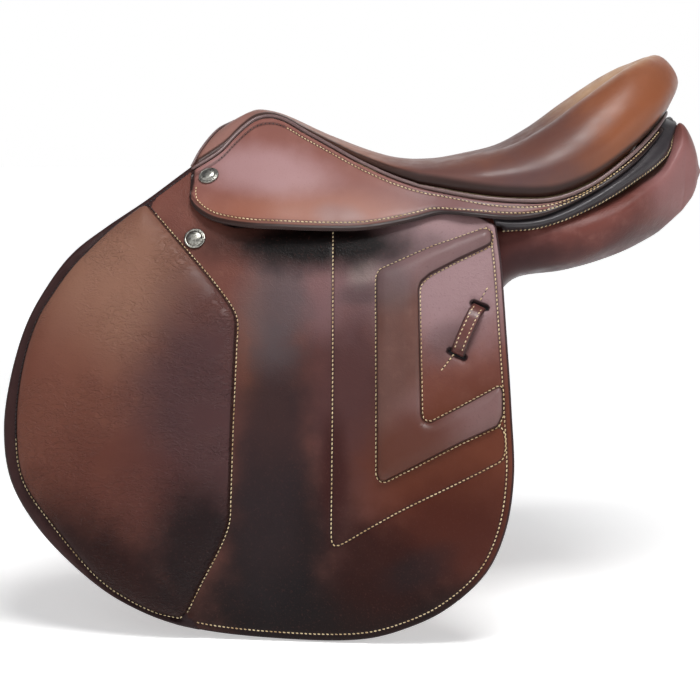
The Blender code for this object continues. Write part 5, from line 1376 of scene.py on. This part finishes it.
def build_flaps():
    """Both flaps with their pads, stitches, strap loops and nails."""
    outline = flap_outline()
    knee = knee_outline()
    strap_line = shape_of(STRAP_LINE, closed=False, steps=6)
    hem = edge_line(outline)
    front = to_height(smooth_curve(FRONT_SEAM, 6))
    front_top = to_height(smooth_curve(FRONT_SEAM[-1:] + FRONT_SEAM_TOP, 8))

    def banded(flat, edge):
        """The rolled band in front of the knee pad."""
        return (distance_to(front, flat) + edge < 0.0205) & ~inside(knee, flat)

    def relief(flat, edge, seam):
        """Grooves under the seams, and the swell of the band."""
        groove = -0.0006 * (1 - smoothstep(0.0, 0.0018, seam))
        to_pad = np.maximum(distance_to(front, flat) - 0.0026, 0.0)
        swell = np.sqrt(np.clip(np.sin(np.pi * edge / np.maximum(edge + to_pad, 1e-6)), 0, 1))
        roll = 0.0030 * swell * smoothstep(0.03, -0.02, flat[:, 1])
        return groove + np.where(banded(flat, edge), roll, 0.0)

    def bound(flat, edge):
        """Darkens the whole band, the leather under the pad's edge and the edge above the band."""
        above = np.where(distance_to(front_top, flat) < 0.014, np.maximum(edge - 0.0032, 0), edge)
        under_pad = distance_to(front, flat) < 0.005
        return np.where(banded(flat, edge) | under_pad, 0.0, above)

    seam_line = beside(knee, -0.0011 * inward(knee), True)
    near = (distance_to(front, seam_line) < 0.016) & (seam_line[:, 1] > -0.15)
    seam_line = np.roll(seam_line, -int(np.argmax(near & ~np.roll(near, 1))), axis=0)
    bound_line = seam_line[:int(near.sum())]
    seam_line = np.concatenate([seam_line[int(near.sum()) - 1:], seam_line[:1]])
    slots = [slot_outline(*to_height(ends)) for ends in KEEPER_SLOTS]
    for name, side in SIDES:
        flap = add_sheet("flap_leather_" + name, outline, look("flap"), FLAP_OFFSET, FLAP_THICKNESS, side,
                         seams=(strap_line, hem), holes=slots, relief=relief, bound=bound)
        blend_flap(flap)
        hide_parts("flap_" + name, "flap_head_" + name)
        build_pads(name, side, knee)
        runs = [on_side(line, FLAP_FACE - 0.0005) for line in (strap_line, hem)]
        runs.append(on_side(seam_line, PAD_OFFSET + 0.0003))
        blend_flap(add_stitches("flap_stitching_" + name, runs, side))
        # Black thread on the front seam and above the band: painted shade on stitches that lie in shadow
        # under the skirt and along the pad's edge
        runs = [on_side(bound_line, PAD_OFFSET + 0.0003),
                on_side(spaced(front_top, 0.002), FLAP_FACE + 0.0001)]
        stitches = add_stitches("flap_shaded_stitching_" + name, runs, side, thread=look("dark"))
        blend_flap(stitches)
        build_keeper(name, side)
        add_stud("flap_nail_" + name, "flap_stud_" + name, name)


def build_pads(name, side, knee):
    """The knee pad and the chevron with the row of stitches round it."""
    pad = add_sheet("knee_roll_" + name, knee, look("knee"), PAD_OFFSET, PAD_SKIN, side,
                    relief=stuffed(0.0092, 0.022), edge_rings=PAD_RINGS)
    blend_flap(pad)
    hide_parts("knee_pad_" + name, "knee_pad_top_" + name)
    outline = spaced(to_height(CHEVRON_OUTLINE), SHEET_SPACING, True)
    pad = add_sheet("chevron_roll_" + name, outline, look("chevron"), PAD_OFFSET, PAD_SKIN, side,
                    relief=stuffed(0.0078, 0.014), edge_rings=PAD_RINGS, spacing=0.0035)
    blend_flap(pad)
    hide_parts("chevron_pad_" + name)
    line = beside(outline, -0.0009 * inward(outline), True)
    line = np.concatenate([line, line[:1]])
    stitches = add_stitches("chevron_stitching_" + name, [on_side(line, FLAP_FACE + 0.0001)], side)
    blend_flap(stitches)


KEEPER_TOP = (0.1110, -0.0881)
KEEPER_END = (0.0915, -0.1271)
KEEPER_TAILS = [[(0.1175, -0.0752), (0.1124, -0.0834)], [(0.0882, -0.1285), (0.0790, -0.1397)]]
KEEPER_WIDTH = 0.012
KEEPER_THICKNESS = 0.0025
KEEPER_RISE = 0.0055
KEEPER_STITCHES = 0.0033
# How far the dark leather behind the slots reaches past the strap, along it and to each side
KEEPER_BACKING_ALONG = 0.0090
KEEPER_BACKING_ACROSS = 0.0105


def build_keeper(name, side):
    """The strap loop that goes through two slots of the flap, with its rows of stitches."""
    top, end = to_height([KEEPER_TOP, KEEPER_END])
    along = end - top
    across = unit(np.array((along[1], -along[0])))
    shares = np.linspace(0, 1, 41)
    lifts = np.interp(shares, [0, 0.04, 0.12, 0.26, 0.5, 0.74, 0.88, 0.96, 1],
                      [-1, -0.5, 0.4, 0.9, 1.05, 0.9, 0.4, -0.5, -1])
    lifts = np.convolve(np.pad(lifts, 2, "edge"), np.ones(5) / 5, "valid")
    spots = np.array([-1, -0.9, -0.7, -0.4, 0, 0.4, 0.7, 0.9, 1]) * KEEPER_WIDTH / 2
    flat = top + along * shares[:, None, None] + across * spots[None, :, None]
    edge = np.repeat((KEEPER_WIDTH / 2 - np.abs(spots))[None], len(shares), 0)
    draw = bull_nose(edge, KEEPER_THICKNESS).reshape(-1)
    base = PAD_OFFSET + KEEPER_RISE * np.repeat(lifts, len(spots))
    shape = (len(shares), len(spots), 3)
    outer = side_points(flat.reshape(-1, 2), base + KEEPER_THICKNESS - draw).reshape(shape)
    inner = side_points(flat.reshape(-1, 2), base + draw).reshape(shape)
    beyond = unit(along) * KEEPER_BACKING_ALONG
    beside_it = across * KEEPER_BACKING_ACROSS
    corners = [top - beyond + beside_it, end + beyond + beside_it,
               end + beyond - beside_it, top - beyond - beside_it]
    # A patch of black leather behind the slots: partly a reinforcement, partly painted shade seen through
    # the slots
    backing = add_sheet("keeper_backing_" + name, spaced(np.array(corners), 0.0025, True), look("dark"),
                        FLAP_OFFSET - 0.0009, 0.0008, side)
    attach(backing, "flap_" + name)
    strap = add_grid("keeper_strap_" + name, outer, inner, look("strap"), side, edge)
    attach(strap, "flap_" + name)
    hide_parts("flap_keeper_" + name)
    runs = []
    for lean in (-KEEPER_STITCHES, KEEPER_STITCHES):
        line = (top + along * shares[:, None] + across * lean)[4:-4]
        height = (PAD_OFFSET + KEEPER_RISE * lifts + KEEPER_THICKNESS)[4:-4]
        runs.append((side_points(line, height - STITCH_DEPTH), side_points(line, height + 0.001)))
    runs += [on_side(spaced(to_height(ends), 0.002), FLAP_FACE + 0.0002) for ends in KEEPER_TAILS]
    stitches = add_stitches("keeper_stitching_" + name, runs, side)
    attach(stitches, "flap_" + name)


# Under the flap

def build_under():
    """Sweat flaps, blocks and girth webbing."""
    sweat = shape_of(SWEAT_OUTLINE)
    hem = beside(sweat, 0.006 * inward(sweat), True)
    web = spaced(to_height(GIRTH_WEB_OUTLINE), 0.003, True)
    for name, side in SIDES:
        sheet = add_sheet("sweat_flap_leather_" + name, sweat, look("under"), -SWEAT_FLAP_THICKNESS,
                          SWEAT_FLAP_THICKNESS, side)
        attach(sheet, "saddle")
        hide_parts("sweat_flap_" + name)
        stitches = add_stitches("sweat_flap_stitching_" + name, [on_side(hem, -0.0001)], side)
        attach(stitches, "saddle")
        for label, points in (("knee_block", KNEE_BLOCK), ("calf_block", CALF_BLOCK)):
            outline = shape_of(points)
            block = add_sheet(label + "_roll_" + name, outline, look("knee"), 0.0003, PAD_SKIN, side,
                              relief=stuffed(0.0085, 0.014), edge_rings=PAD_RINGS[:5])
            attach(block, "saddle")
            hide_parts(label + "_" + name)
        band = add_sheet("girth_webbing_" + name, web, look("web"), WEB_OFFSET, WEB_THICKNESS, side,
                         nose=0.0004)
        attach(band, "saddle")
        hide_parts("girth_web_" + name)


STRAP_PLACES = (("front", -0.072, "girth_strap_front_"), ("middle", -0.002, "girth_straps_rear_"),
                ("rear", 0.038, "girth_straps_rear_"))
STRAP_TOP = -0.004
STRAP_LENGTH = 0.290
STRAP_HALF = 0.0125
STRAP_STITCHES = 0.0095
STRAP_HOLES = 5
STRAP_HOLE_RADIUS = 0.0027
STRAP_HOLE_PITCH = 0.030
FIRST_STRAP_HOLE = 0.036


def strap_outline(centre, low):
    """A straight strap with a blunt point."""
    half = [(-STRAP_HALF, STRAP_TOP), (-STRAP_HALF, low + 0.020), (-0.009, low + 0.006), (-0.004, low)]
    other = [(-x, height) for x, height in reversed(half)]
    return spaced(np.array([(centre + x, height) for x, height in half + other]), SHEET_SPACING, True)


def build_straps():
    """Three girth straps on each side, with punched holes and two rows of stitches."""
    low = STRAP_TOP - STRAP_LENGTH
    turns = np.linspace(0, math.tau, 14, endpoint=False)
    round_hole = np.stack([np.cos(turns), np.sin(turns)], -1) * STRAP_HOLE_RADIUS
    for name, side in SIDES:
        for label, centre, body in STRAP_PLACES:
            heights = [low + FIRST_STRAP_HOLE + k * STRAP_HOLE_PITCH for k in range(STRAP_HOLES)]
            holes = [round_hole + (centre, height) for height in heights]
            strap = add_sheet("girth_strap_leather_" + label + "_" + name, strap_outline(centre, low),
                              look("strap"), STRAP_OFFSET, STRAP_THICKNESS, side, holes=holes, nose=0.0010)
            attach(strap, body + name)
            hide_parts("girth_strap_" + label + "_" + name)
            down = np.linspace(STRAP_TOP - 0.004, low + 0.022, 60)
            lines = [np.stack([np.full(60, centre + lean), down], -1)
                     for lean in (-STRAP_STITCHES, STRAP_STITCHES)]
            runs = [on_side(line, STRAP_OFFSET + STRAP_THICKNESS - 0.0002) for line in lines]
            stitches = add_stitches("girth_strap_stitching_" + label + "_" + name, runs, side)
            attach(stitches, body + name)


# Panels and facing

PANEL_RIBS = [
    (0.150, [(0.131, -0.016), (0.141, -0.036), (0.131, -0.056), (0.105, -0.064), (0.075, -0.066),
             (0.042, -0.057), (0.028, -0.036), (0.030, -0.016), (0.085, -0.019)]),
    (0.190, [(0.130, -0.010), (0.142, -0.028), (0.130, -0.048), (0.103, -0.058), (0.075, -0.060),
             (0.042, -0.051), (0.028, -0.028), (0.030, -0.006), (0.085, -0.013)]),
    (0.225, [(0.120, 0.002), (0.135, -0.014), (0.125, -0.036), (0.100, -0.048), (0.074, -0.051),
             (0.042, -0.043), (0.028, -0.016), (0.030, 0.010), (0.080, 0.000)]),
    (0.255, [(0.100, 0.019), (0.120, 0.005), (0.114, -0.017), (0.092, -0.035), (0.070, -0.040),
             (0.042, -0.034), (0.028, -0.004), (0.030, 0.024), (0.068, 0.020)]),
    (0.280, [(0.078, 0.035), (0.098, 0.025), (0.097, 0.003), (0.082, -0.016), (0.064, -0.027),
             (0.042, -0.021), (0.029, 0.010), (0.030, 0.038), (0.054, 0.039)]),
    (0.298, [(0.063, 0.0676), (0.081, 0.0498), (0.080, 0.015), (0.070, -0.004), (0.058, -0.012),
             (0.043, -0.006), (0.031, 0.018), (0.031, 0.0557), (0.045, 0.070)]),
]
PANEL_END_SHAPE = [
    (0.058, 0.066), (0.078, 0.049), (0.078, 0.018), (0.068, -0.001), (0.057, -0.010), (0.044, -0.003),
    (0.032, 0.020), (0.033, 0.054), (0.044, 0.067),
]
PANEL_END_BOXES = [
    (0.3005, 0.032, 0.078, -0.010, 0.0705), (0.3027, 0.033, 0.0765, -0.008, 0.0695),
    (0.3058, 0.034, 0.074, -0.004, 0.066), (0.3090, 0.0355, 0.071, 0.0, 0.0605),
    (0.3118, 0.038, 0.068, 0.004, 0.0545), (0.3135, 0.040, 0.065, 0.0075, 0.0495),
    (0.3155, 0.043, 0.061, 0.0125, 0.0425), (0.3168, 0.047, 0.056, 0.019, 0.036),
]
PANEL_FRONT = [
    (-0.142, 0.016, -0.088, 0.016), (-0.110, 0.022, -0.118, 0.026), (-0.050, 0.014, -0.118, 0.032),
    (0.010, -0.004, -0.112, 0.036), (0.070, -0.016, -0.096, 0.042), (0.115, -0.022, -0.080, 0.050),
]
# Half of the channel, offsets of the outer face under tree and flap, and where the panel leaves the flap
PANEL_CHANNEL = 0.028
PANEL_UNDER_TREE = -0.0133
PANEL_UNDER_FLAP = -0.0053
PANEL_FREE = 0.125


def panel_offset(x, height):
    """Outer face of the panel in front: inside the tree points, then out to the sweat flap."""
    share = min(1.0, max(0.0, (-0.083 - height) / 0.02))
    if x > -0.010:
        share = max(share, min(1.0, (x + 0.010) / 0.05))
    return PANEL_UNDER_TREE + (PANEL_UNDER_FLAP - PANEL_UNDER_TREE) * share


def panel_outer(x, z):
    """A point of the panel's outer face, across and up."""
    height = z - fold_line(x)
    point = side_points(np.array([(x, height)]), panel_offset(x, height))[0]
    return point[1], point[2]


def panel_front_rib(x, top, bottom, thick):
    """A rib under the flap: down the outer face and back up the inner one."""
    outer = [panel_outer(x, top + (bottom - top) * share) for share in (0.0, 0.33, 0.66, 1.0)]
    low = outer[-1]
    return outer + [
        (low[0] - thick * 0.55, low[1] - 0.004),
        (outer[2][0] - thick, outer[2][1] - thick * 0.35),
        (outer[1][0] - thick, outer[1][1] - thick * 0.35),
        (max(PANEL_CHANNEL, outer[0][0] - thick * 1.15), top - 0.012),
        (max(PANEL_CHANNEL + 0.010, outer[0][0] - thick * 0.55), top + 0.001),
    ]


def panel_limit(x, z):
    """How far out the panel may reach at a height, under the side's slope."""
    y, level = panel_outer(x, z)
    height = z - fold_line(x)
    slope = SIDE_LEAN + height / (SHOULDER_RADIUS if height > 0 else BARREL_RADIUS)
    return y - slope * (z - level)


def panel_end_ribs():
    """Ribs of the panel's rounded end: one shape drawn into smaller and smaller boxes."""
    shape = np.array(PANEL_END_SHAPE)
    ribs = []
    for x, near, far, low, high in PANEL_END_BOXES:
        across = np.interp(shape[:, 0], (0.032, 0.078), (near, far))
        up = np.interp(shape[:, 1], (-0.010, 0.067), (low, high))
        ribs.append((x, np.stack([across, up], -1).round(4).tolist()))
    return ribs


def build_panels():
    """Both flocked panels: smooth skins over the ribs, round at both ends."""
    ribs = [(x, panel_front_rib(x, top, bottom, thick)) for x, top, bottom, thick in PANEL_FRONT]
    ribs += PANEL_RIBS + panel_end_ribs()
    loops = np.array([[(x, y, z) for y, z in points] for x, points in ribs])
    columns = np.array([smooth_curve(loops[:, k], 7) for k in range(loops.shape[1])])
    sections = columns.transpose(1, 0, 2)
    smooth = np.array([smooth_curve(section, 6, closed=True) for section in sections])
    share = smoothstep(0.280, 0.292, smooth[1:-1, :, :1])
    for _ in range(14):
        smooth[1:-1] += share * ((smooth[:-2] + smooth[2:]) / 2 - smooth[1:-1]) / 2
    for section in smooth:
        for point in section:
            if point[0] < PANEL_FREE:
                point[1] = min(point[1], panel_limit(point[0], point[2]))
    front, back = smooth[0].mean(0), smooth[-1].mean(0)
    first = [front + (smooth[0] - front) * k + (-0.004 * (1 - k), 0, 0) for k in (0.0, 0.5, 0.85)]
    last = [back + (smooth[-1] - back) * k + (0.003 * (1 - k), 0, 0) for k in (0.85, 0.5, 0.0)]
    grid = np.concatenate([np.array(first), smooth, np.array(last)])
    faces = ring_faces(*grid.shape[:2])
    points = grid.reshape(-1, 3)
    for name, side in SIDES:
        panel = piece("flocked_panel_" + name, points, faces, look("panel"), points, side)
        merge_points(panel)
        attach(panel, "saddle")
        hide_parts("panel_" + name)


FACING_EDGE = [
    (0.133, 0.1385, -0.023), (0.159, 0.139, -0.021), (0.184, 0.138, -0.014), (0.208, 0.133, -0.004),
    (0.223, 0.128, 0.0035), (0.2365, 0.122, 0.011), (0.250, 0.114, 0.0195), (0.2635, 0.104, 0.0275),
    (0.2755, 0.093, 0.0355), (0.286, 0.079, 0.0445), (0.2905, 0.066, 0.0565), (0.294, 0.051, 0.0645),
    (0.2965, 0.028, 0.070), (0.298, 0.0, 0.073),
]


def build_facing():
    """The dark padded band between skirt and panels, rounded, with a sewn lip along its lower edge."""
    grid = skirt_grid()[0]
    normals = grid_normals(grid, 1)
    behind = [k for k in range(len(grid)) if grid[k, -1, 0] > 0.122]
    under = SKIRT_THICKNESS / 2 + 0.0008
    hems = np.array([grid[k, -1] - normals[k, -3] * under for k in behind])
    low_edge = paired(hems, smooth_curve(FACING_EDGE, 12), 16)
    rows = []
    for low, hem, k in zip(low_edge, hems, behind):
        bare = float(smoothstep(-1, 5, k - SKIRT_END))
        up = unit(grid[k, -6] - grid[k, -1])
        out = unit(normals[k, -3] * (1, 1, 0))
        top = grid[k, 0] - normals[k, 0] * (under + 0.003 * (1 - bare))
        top[2] += 0.0042 * (1 - bare)
        start = hem + normals[k, -3] * SKIRT_THICKNESS * bare - up * 0.001
        section = [top, top + (start - top) * 0.5, start]
        for share in np.linspace(0.1, 1.0, 12):
            lift = 0.0048 * math.sin(math.pi * min(1.0, share / 0.88)) ** 0.6 if share < 0.88 else 0.0008
            section.append(start + (low - start) * share + out * lift)
        rows.append(section)
    rows = np.array(rows)
    rows[-1, :, 1] = 0.0
    whole = both_sides(rows)
    directions = grid_normals(whole)
    centre = whole.mean((0, 1)) + (-0.1, 0, 0)
    directions *= np.sign(((whole - centre) * directions).sum(2).mean())
    facing = add_grid("padded_facing", whole, whole - directions * 0.004, look("dark"), 1.0)
    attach(facing, "saddle")
    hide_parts("panel_facing")
    line = whole[:, -2]
    stitches = add_stitches("facing_stitching", [(line, line + directions[:, -2] * 0.002)], 1.0, slant=0.5)
    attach(stitches, "saddle")


# Tree and metal

FINISHES = (
    ("tree", "wood"), ("head_plate", "steel"), ("tree_spring", "spring"), ("stirrup_bar", "steel"),
    ("bar_rivet_front", "steel"), ("bar_rivet_rear", "steel"), ("stirrup_catch", "steel"),
    ("catch_pin", "steel"),
)


def build_tree():
    """The seat's webbing, and the finishes of the tree and the metal on it."""
    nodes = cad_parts
    web = add_grid("seat_webbing", *webbing_grids(foam_underside()), look("web"), 1.0)
    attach(web, "saddle")
    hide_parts("seat_web")
    for name, finish in FINISHES:
        for key in (name, name + "_right", name + "_left"):
            if key in nodes:
                for slot in nodes[key].material_slots:
                    slot.material = look(finish)


def webbing_grids(lower):
    """The long band of the seat's webbing, just under the foam."""
    middle = lower.shape[1] // 2
    first, last = FRONT_STATIONS * 6 // 13, FRONT_STATIONS + REAR_STATIONS - 12
    part = lower[first:last, middle - 8:middle + 9]
    normals = grid_normals(part, 2)
    return part - normals * 0.0003, part - normals * 0.0023


# Stage

CAMERA_TARGET = Vector((0, 0, -0.143))
CAMERA_DISTANCE = 1.6
CAMERA_TILT = 7.0
CAMERA_LENS = 86.16
FLOOR_GAP = 0.001


def add_floor():
    """A wide pale floor in matt paint, barely mottled, that meets the flaps' lower edges."""
    bpy.ops.mesh.primitive_plane_add(size=60.0, location=(0, 0, CAD_BOX[0][2] - FLOOR_GAP))
    floor = bpy.context.active_object
    floor.name = "stage_floor"
    made, tree, shader = start_material("matt white paint")
    where = node(tree, "ShaderNodeTexCoord").outputs["Object"]
    shade = mix(tree, noise(tree, where, 400.0), "#f2f2f1", "#f7f7f6")
    tree.links.new(shade, shader.inputs["Base Color"])
    shader.inputs["Roughness"].default_value = 0.9
    shader.inputs["Specular IOR Level"].default_value = 0.1
    shader.inputs["Emission Color"].default_value = linear("#ffffff")
    far = node(tree, "ShaderNodeVectorMath", [(0, where)], operation="LENGTH").outputs["Value"]
    tree.links.new(ramp(tree, far, 0.6, 3.0, 0.42, 0.80), shader.inputs["Emission Strength"])
    floor.data.materials.append(made)


def add_world(scene):
    """A white horizon under a dimmer sky, so that the soft lights shape the leather."""
    world = bpy.data.worlds.new("studio")
    scene.world = world
    world.use_nodes = True
    tree = world.node_tree
    direction = node(tree, "ShaderNodeTexCoord").outputs["Generated"]
    height = node(tree, "ShaderNodeSeparateXYZ", [("Vector", direction)]).outputs["Z"]
    shade = mix(tree, ramp(tree, height, 0.12, 0.45), "#ffffff", "#6c6c70")
    tree.links.new(shade, tree.nodes["Background"].inputs["Color"])


def add_light(name, place, size, power):
    """A soft lamp that looks at the middle of the saddle."""
    light = bpy.data.lights.new(name, "AREA")
    light.shape = "RECTANGLE"
    light.size, light.size_y = size
    light.energy = power
    lamp = bpy.data.objects.new(name, light)
    lamp.location = place
    lamp.rotation_euler = (Vector((0, 0, -0.1)) - Vector(place)).to_track_quat("-Z", "Y").to_euler()
    bpy.context.scene.collection.objects.link(lamp)


def build_stage(scene):
    """Floor, world, four soft lamps and the camera."""
    add_floor()
    add_world(scene)
    add_light("key", (-0.9, -1.5, 1.1), (1.0, 1.0), 4.0)
    add_light("top", (0.25, -0.80, 1.6), (1.0, 0.6), 34.0)
    add_light("fill", (1.7, -1.0, 0.5), (0.9, 0.9), 4.0)
    add_light("rim", (0.5, 1.5, 0.9), (1.2, 0.8), 2.0)
    camera = bpy.data.cameras.new("camera")
    camera.lens = CAMERA_LENS
    camera.sensor_width = 36.0
    eye = bpy.data.objects.new("camera", camera)
    tilt = math.radians(CAMERA_TILT)
    eye.location = CAMERA_TARGET + Vector((0, -math.cos(tilt), math.sin(tilt))) * CAMERA_DISTANCE
    eye.rotation_euler = (CAMERA_TARGET - eye.location).to_track_quat("-Z", "Y").to_euler()
    scene.collection.objects.link(eye)
    scene.camera = eye
    scene.view_settings.view_transform = "Standard"


# Add-on

class SaddleSizes(bpy.types.PropertyGroup):
    stitch_pitch: FloatProperty(name="Stitch pitch", description="Distance from one stitch to the next",
                                default=0.0037, min=0.002, max=0.008, unit="LENGTH")
    stitch_share: FloatProperty(name="Stitch share", description="Share of the pitch that thread covers",
                                default=0.68, min=0.4, max=0.95, subtype="FACTOR")
    thread_diameter: FloatProperty(name="Thread diameter", description="Thickness of the sewing thread",
                                   default=0.00105, min=0.0004, max=0.002, unit="LENGTH")


def colour_property(name, description, default):
    """A colour that the panel shows, from its hex code."""
    return FloatVectorProperty(name=name, description=description, subtype="COLOR", size=4,
                               default=linear(default), min=0.0, max=1.0)


class SaddleColours(bpy.types.PropertyGroup):
    thread: colour_property("Thread", "Colour of the waxed thread", "#dfcba0")
    seat: colour_property("Seat", "Colour of the seat's calf", "#7d4b33")
    skirt: colour_property("Skirts", "Colour of the skirts' bridle leather", "#7c5048")
    flap: colour_property("Flaps", "Colour of the flaps' leather", "#683f36")
    pads: colour_property("Pads", "Colour of the calf over the knee pads", "#603c33")
    panels: colour_property("Panels", "Colour of the panels' calf", "#653a34")
    facing: colour_property("Facing", "Colour of the dark padded band", "#2c282b")
    straps: colour_property("Straps", "Colour of the girth straps and keepers", "#5c3330")


class SADDLE_OT_stage(bpy.types.Operator):
    """Sets up the floor, the lights and the camera"""
    bl_idname = "saddle.stage"
    bl_label = "Stage"

    def execute(self, context):
        build_stage(context.scene)
        return {"FINISHED"}


class SADDLE_OT_seat(bpy.types.Operator):
    """Builds the seat's cover and foam and the binding of the arch"""
    bl_idname = "saddle.seat"
    bl_label = "Seat"

    def execute(self, context):
        build_seat()
        return {"FINISHED"}


class SADDLE_OT_tree(bpy.types.Operator):
    """Builds the webbing and finishes the tree and the metal on it"""
    bl_idname = "saddle.tree"
    bl_label = "Tree"

    def execute(self, context):
        build_tree()
        return {"FINISHED"}


class SADDLE_OT_welt(bpy.types.Operator):
    """Builds the piping between seat and skirts"""
    bl_idname = "saddle.welt"
    bl_label = "Welt"

    def execute(self, context):
        build_welt()
        return {"FINISHED"}


class SADDLE_OT_skirts(bpy.types.Operator):
    """Builds both skirts with their stitching and nails"""
    bl_idname = "saddle.skirts"
    bl_label = "Skirts"

    def execute(self, context):
        build_skirts()
        return {"FINISHED"}


class SADDLE_OT_flaps(bpy.types.Operator):
    """Builds both flaps with their pads, stitching, strap loops and nails"""
    bl_idname = "saddle.flaps"
    bl_label = "Flaps"

    def execute(self, context):
        build_flaps()
        return {"FINISHED"}


class SADDLE_OT_under(bpy.types.Operator):
    """Builds the sweat flaps, blocks and girth webbing"""
    bl_idname = "saddle.under"
    bl_label = "Under the flaps"

    def execute(self, context):
        build_under()
        return {"FINISHED"}


class SADDLE_OT_straps(bpy.types.Operator):
    """Builds the six girth straps with their holes and stitching"""
    bl_idname = "saddle.straps"
    bl_label = "Girth straps"

    def execute(self, context):
        build_straps()
        return {"FINISHED"}


class SADDLE_OT_panels(bpy.types.Operator):
    """Builds both flocked panels"""
    bl_idname = "saddle.panels"
    bl_label = "Panels"

    def execute(self, context):
        build_panels()
        return {"FINISHED"}


class SADDLE_OT_facing(bpy.types.Operator):
    """Builds the dark padded band between skirts and panels"""
    bl_idname = "saddle.facing"
    bl_label = "Facing"

    def execute(self, context):
        build_facing()
        return {"FINISHED"}


class SADDLE_PT_panel(bpy.types.Panel):
    """Lists the saddle's sizes, colours and steps"""
    bl_idname = "SADDLE_PT_panel"
    bl_label = "Saddle"
    bl_space_type = "VIEW_3D"
    bl_region_type = "UI"
    bl_category = "Saddle"

    def draw(self, context):
        column = self.layout.column()
        for group in (context.scene.saddle_sizes, context.scene.saddle_colours):
            for key in group.__annotations__:
                column.prop(group, key)
        for step in STEPS:
            column.operator(step.bl_idname)


STEPS = (SADDLE_OT_stage, SADDLE_OT_seat, SADDLE_OT_tree, SADDLE_OT_welt, SADDLE_OT_skirts,
         SADDLE_OT_flaps, SADDLE_OT_under, SADDLE_OT_straps, SADDLE_OT_panels, SADDLE_OT_facing)
CLASSES = (SaddleSizes, SaddleColours) + STEPS + (SADDLE_PT_panel,)


def register():
    for cls in CLASSES:
        bpy.utils.register_class(cls)
    bpy.types.Scene.saddle_sizes = PointerProperty(type=SaddleSizes)
    bpy.types.Scene.saddle_colours = PointerProperty(type=SaddleColours)


def unregister():
    del bpy.types.Scene.saddle_colours
    del bpy.types.Scene.saddle_sizes
    for cls in reversed(CLASSES):
        bpy.utils.unregister_class(cls)


def main():
    """Runs every step in turn."""
    register()
    for step in ("stage", "seat", "tree", "welt", "skirts", "flaps", "under", "straps", "panels", "facing"):
        getattr(bpy.ops.saddle, step)()


if __name__ == "__main__":
    main()
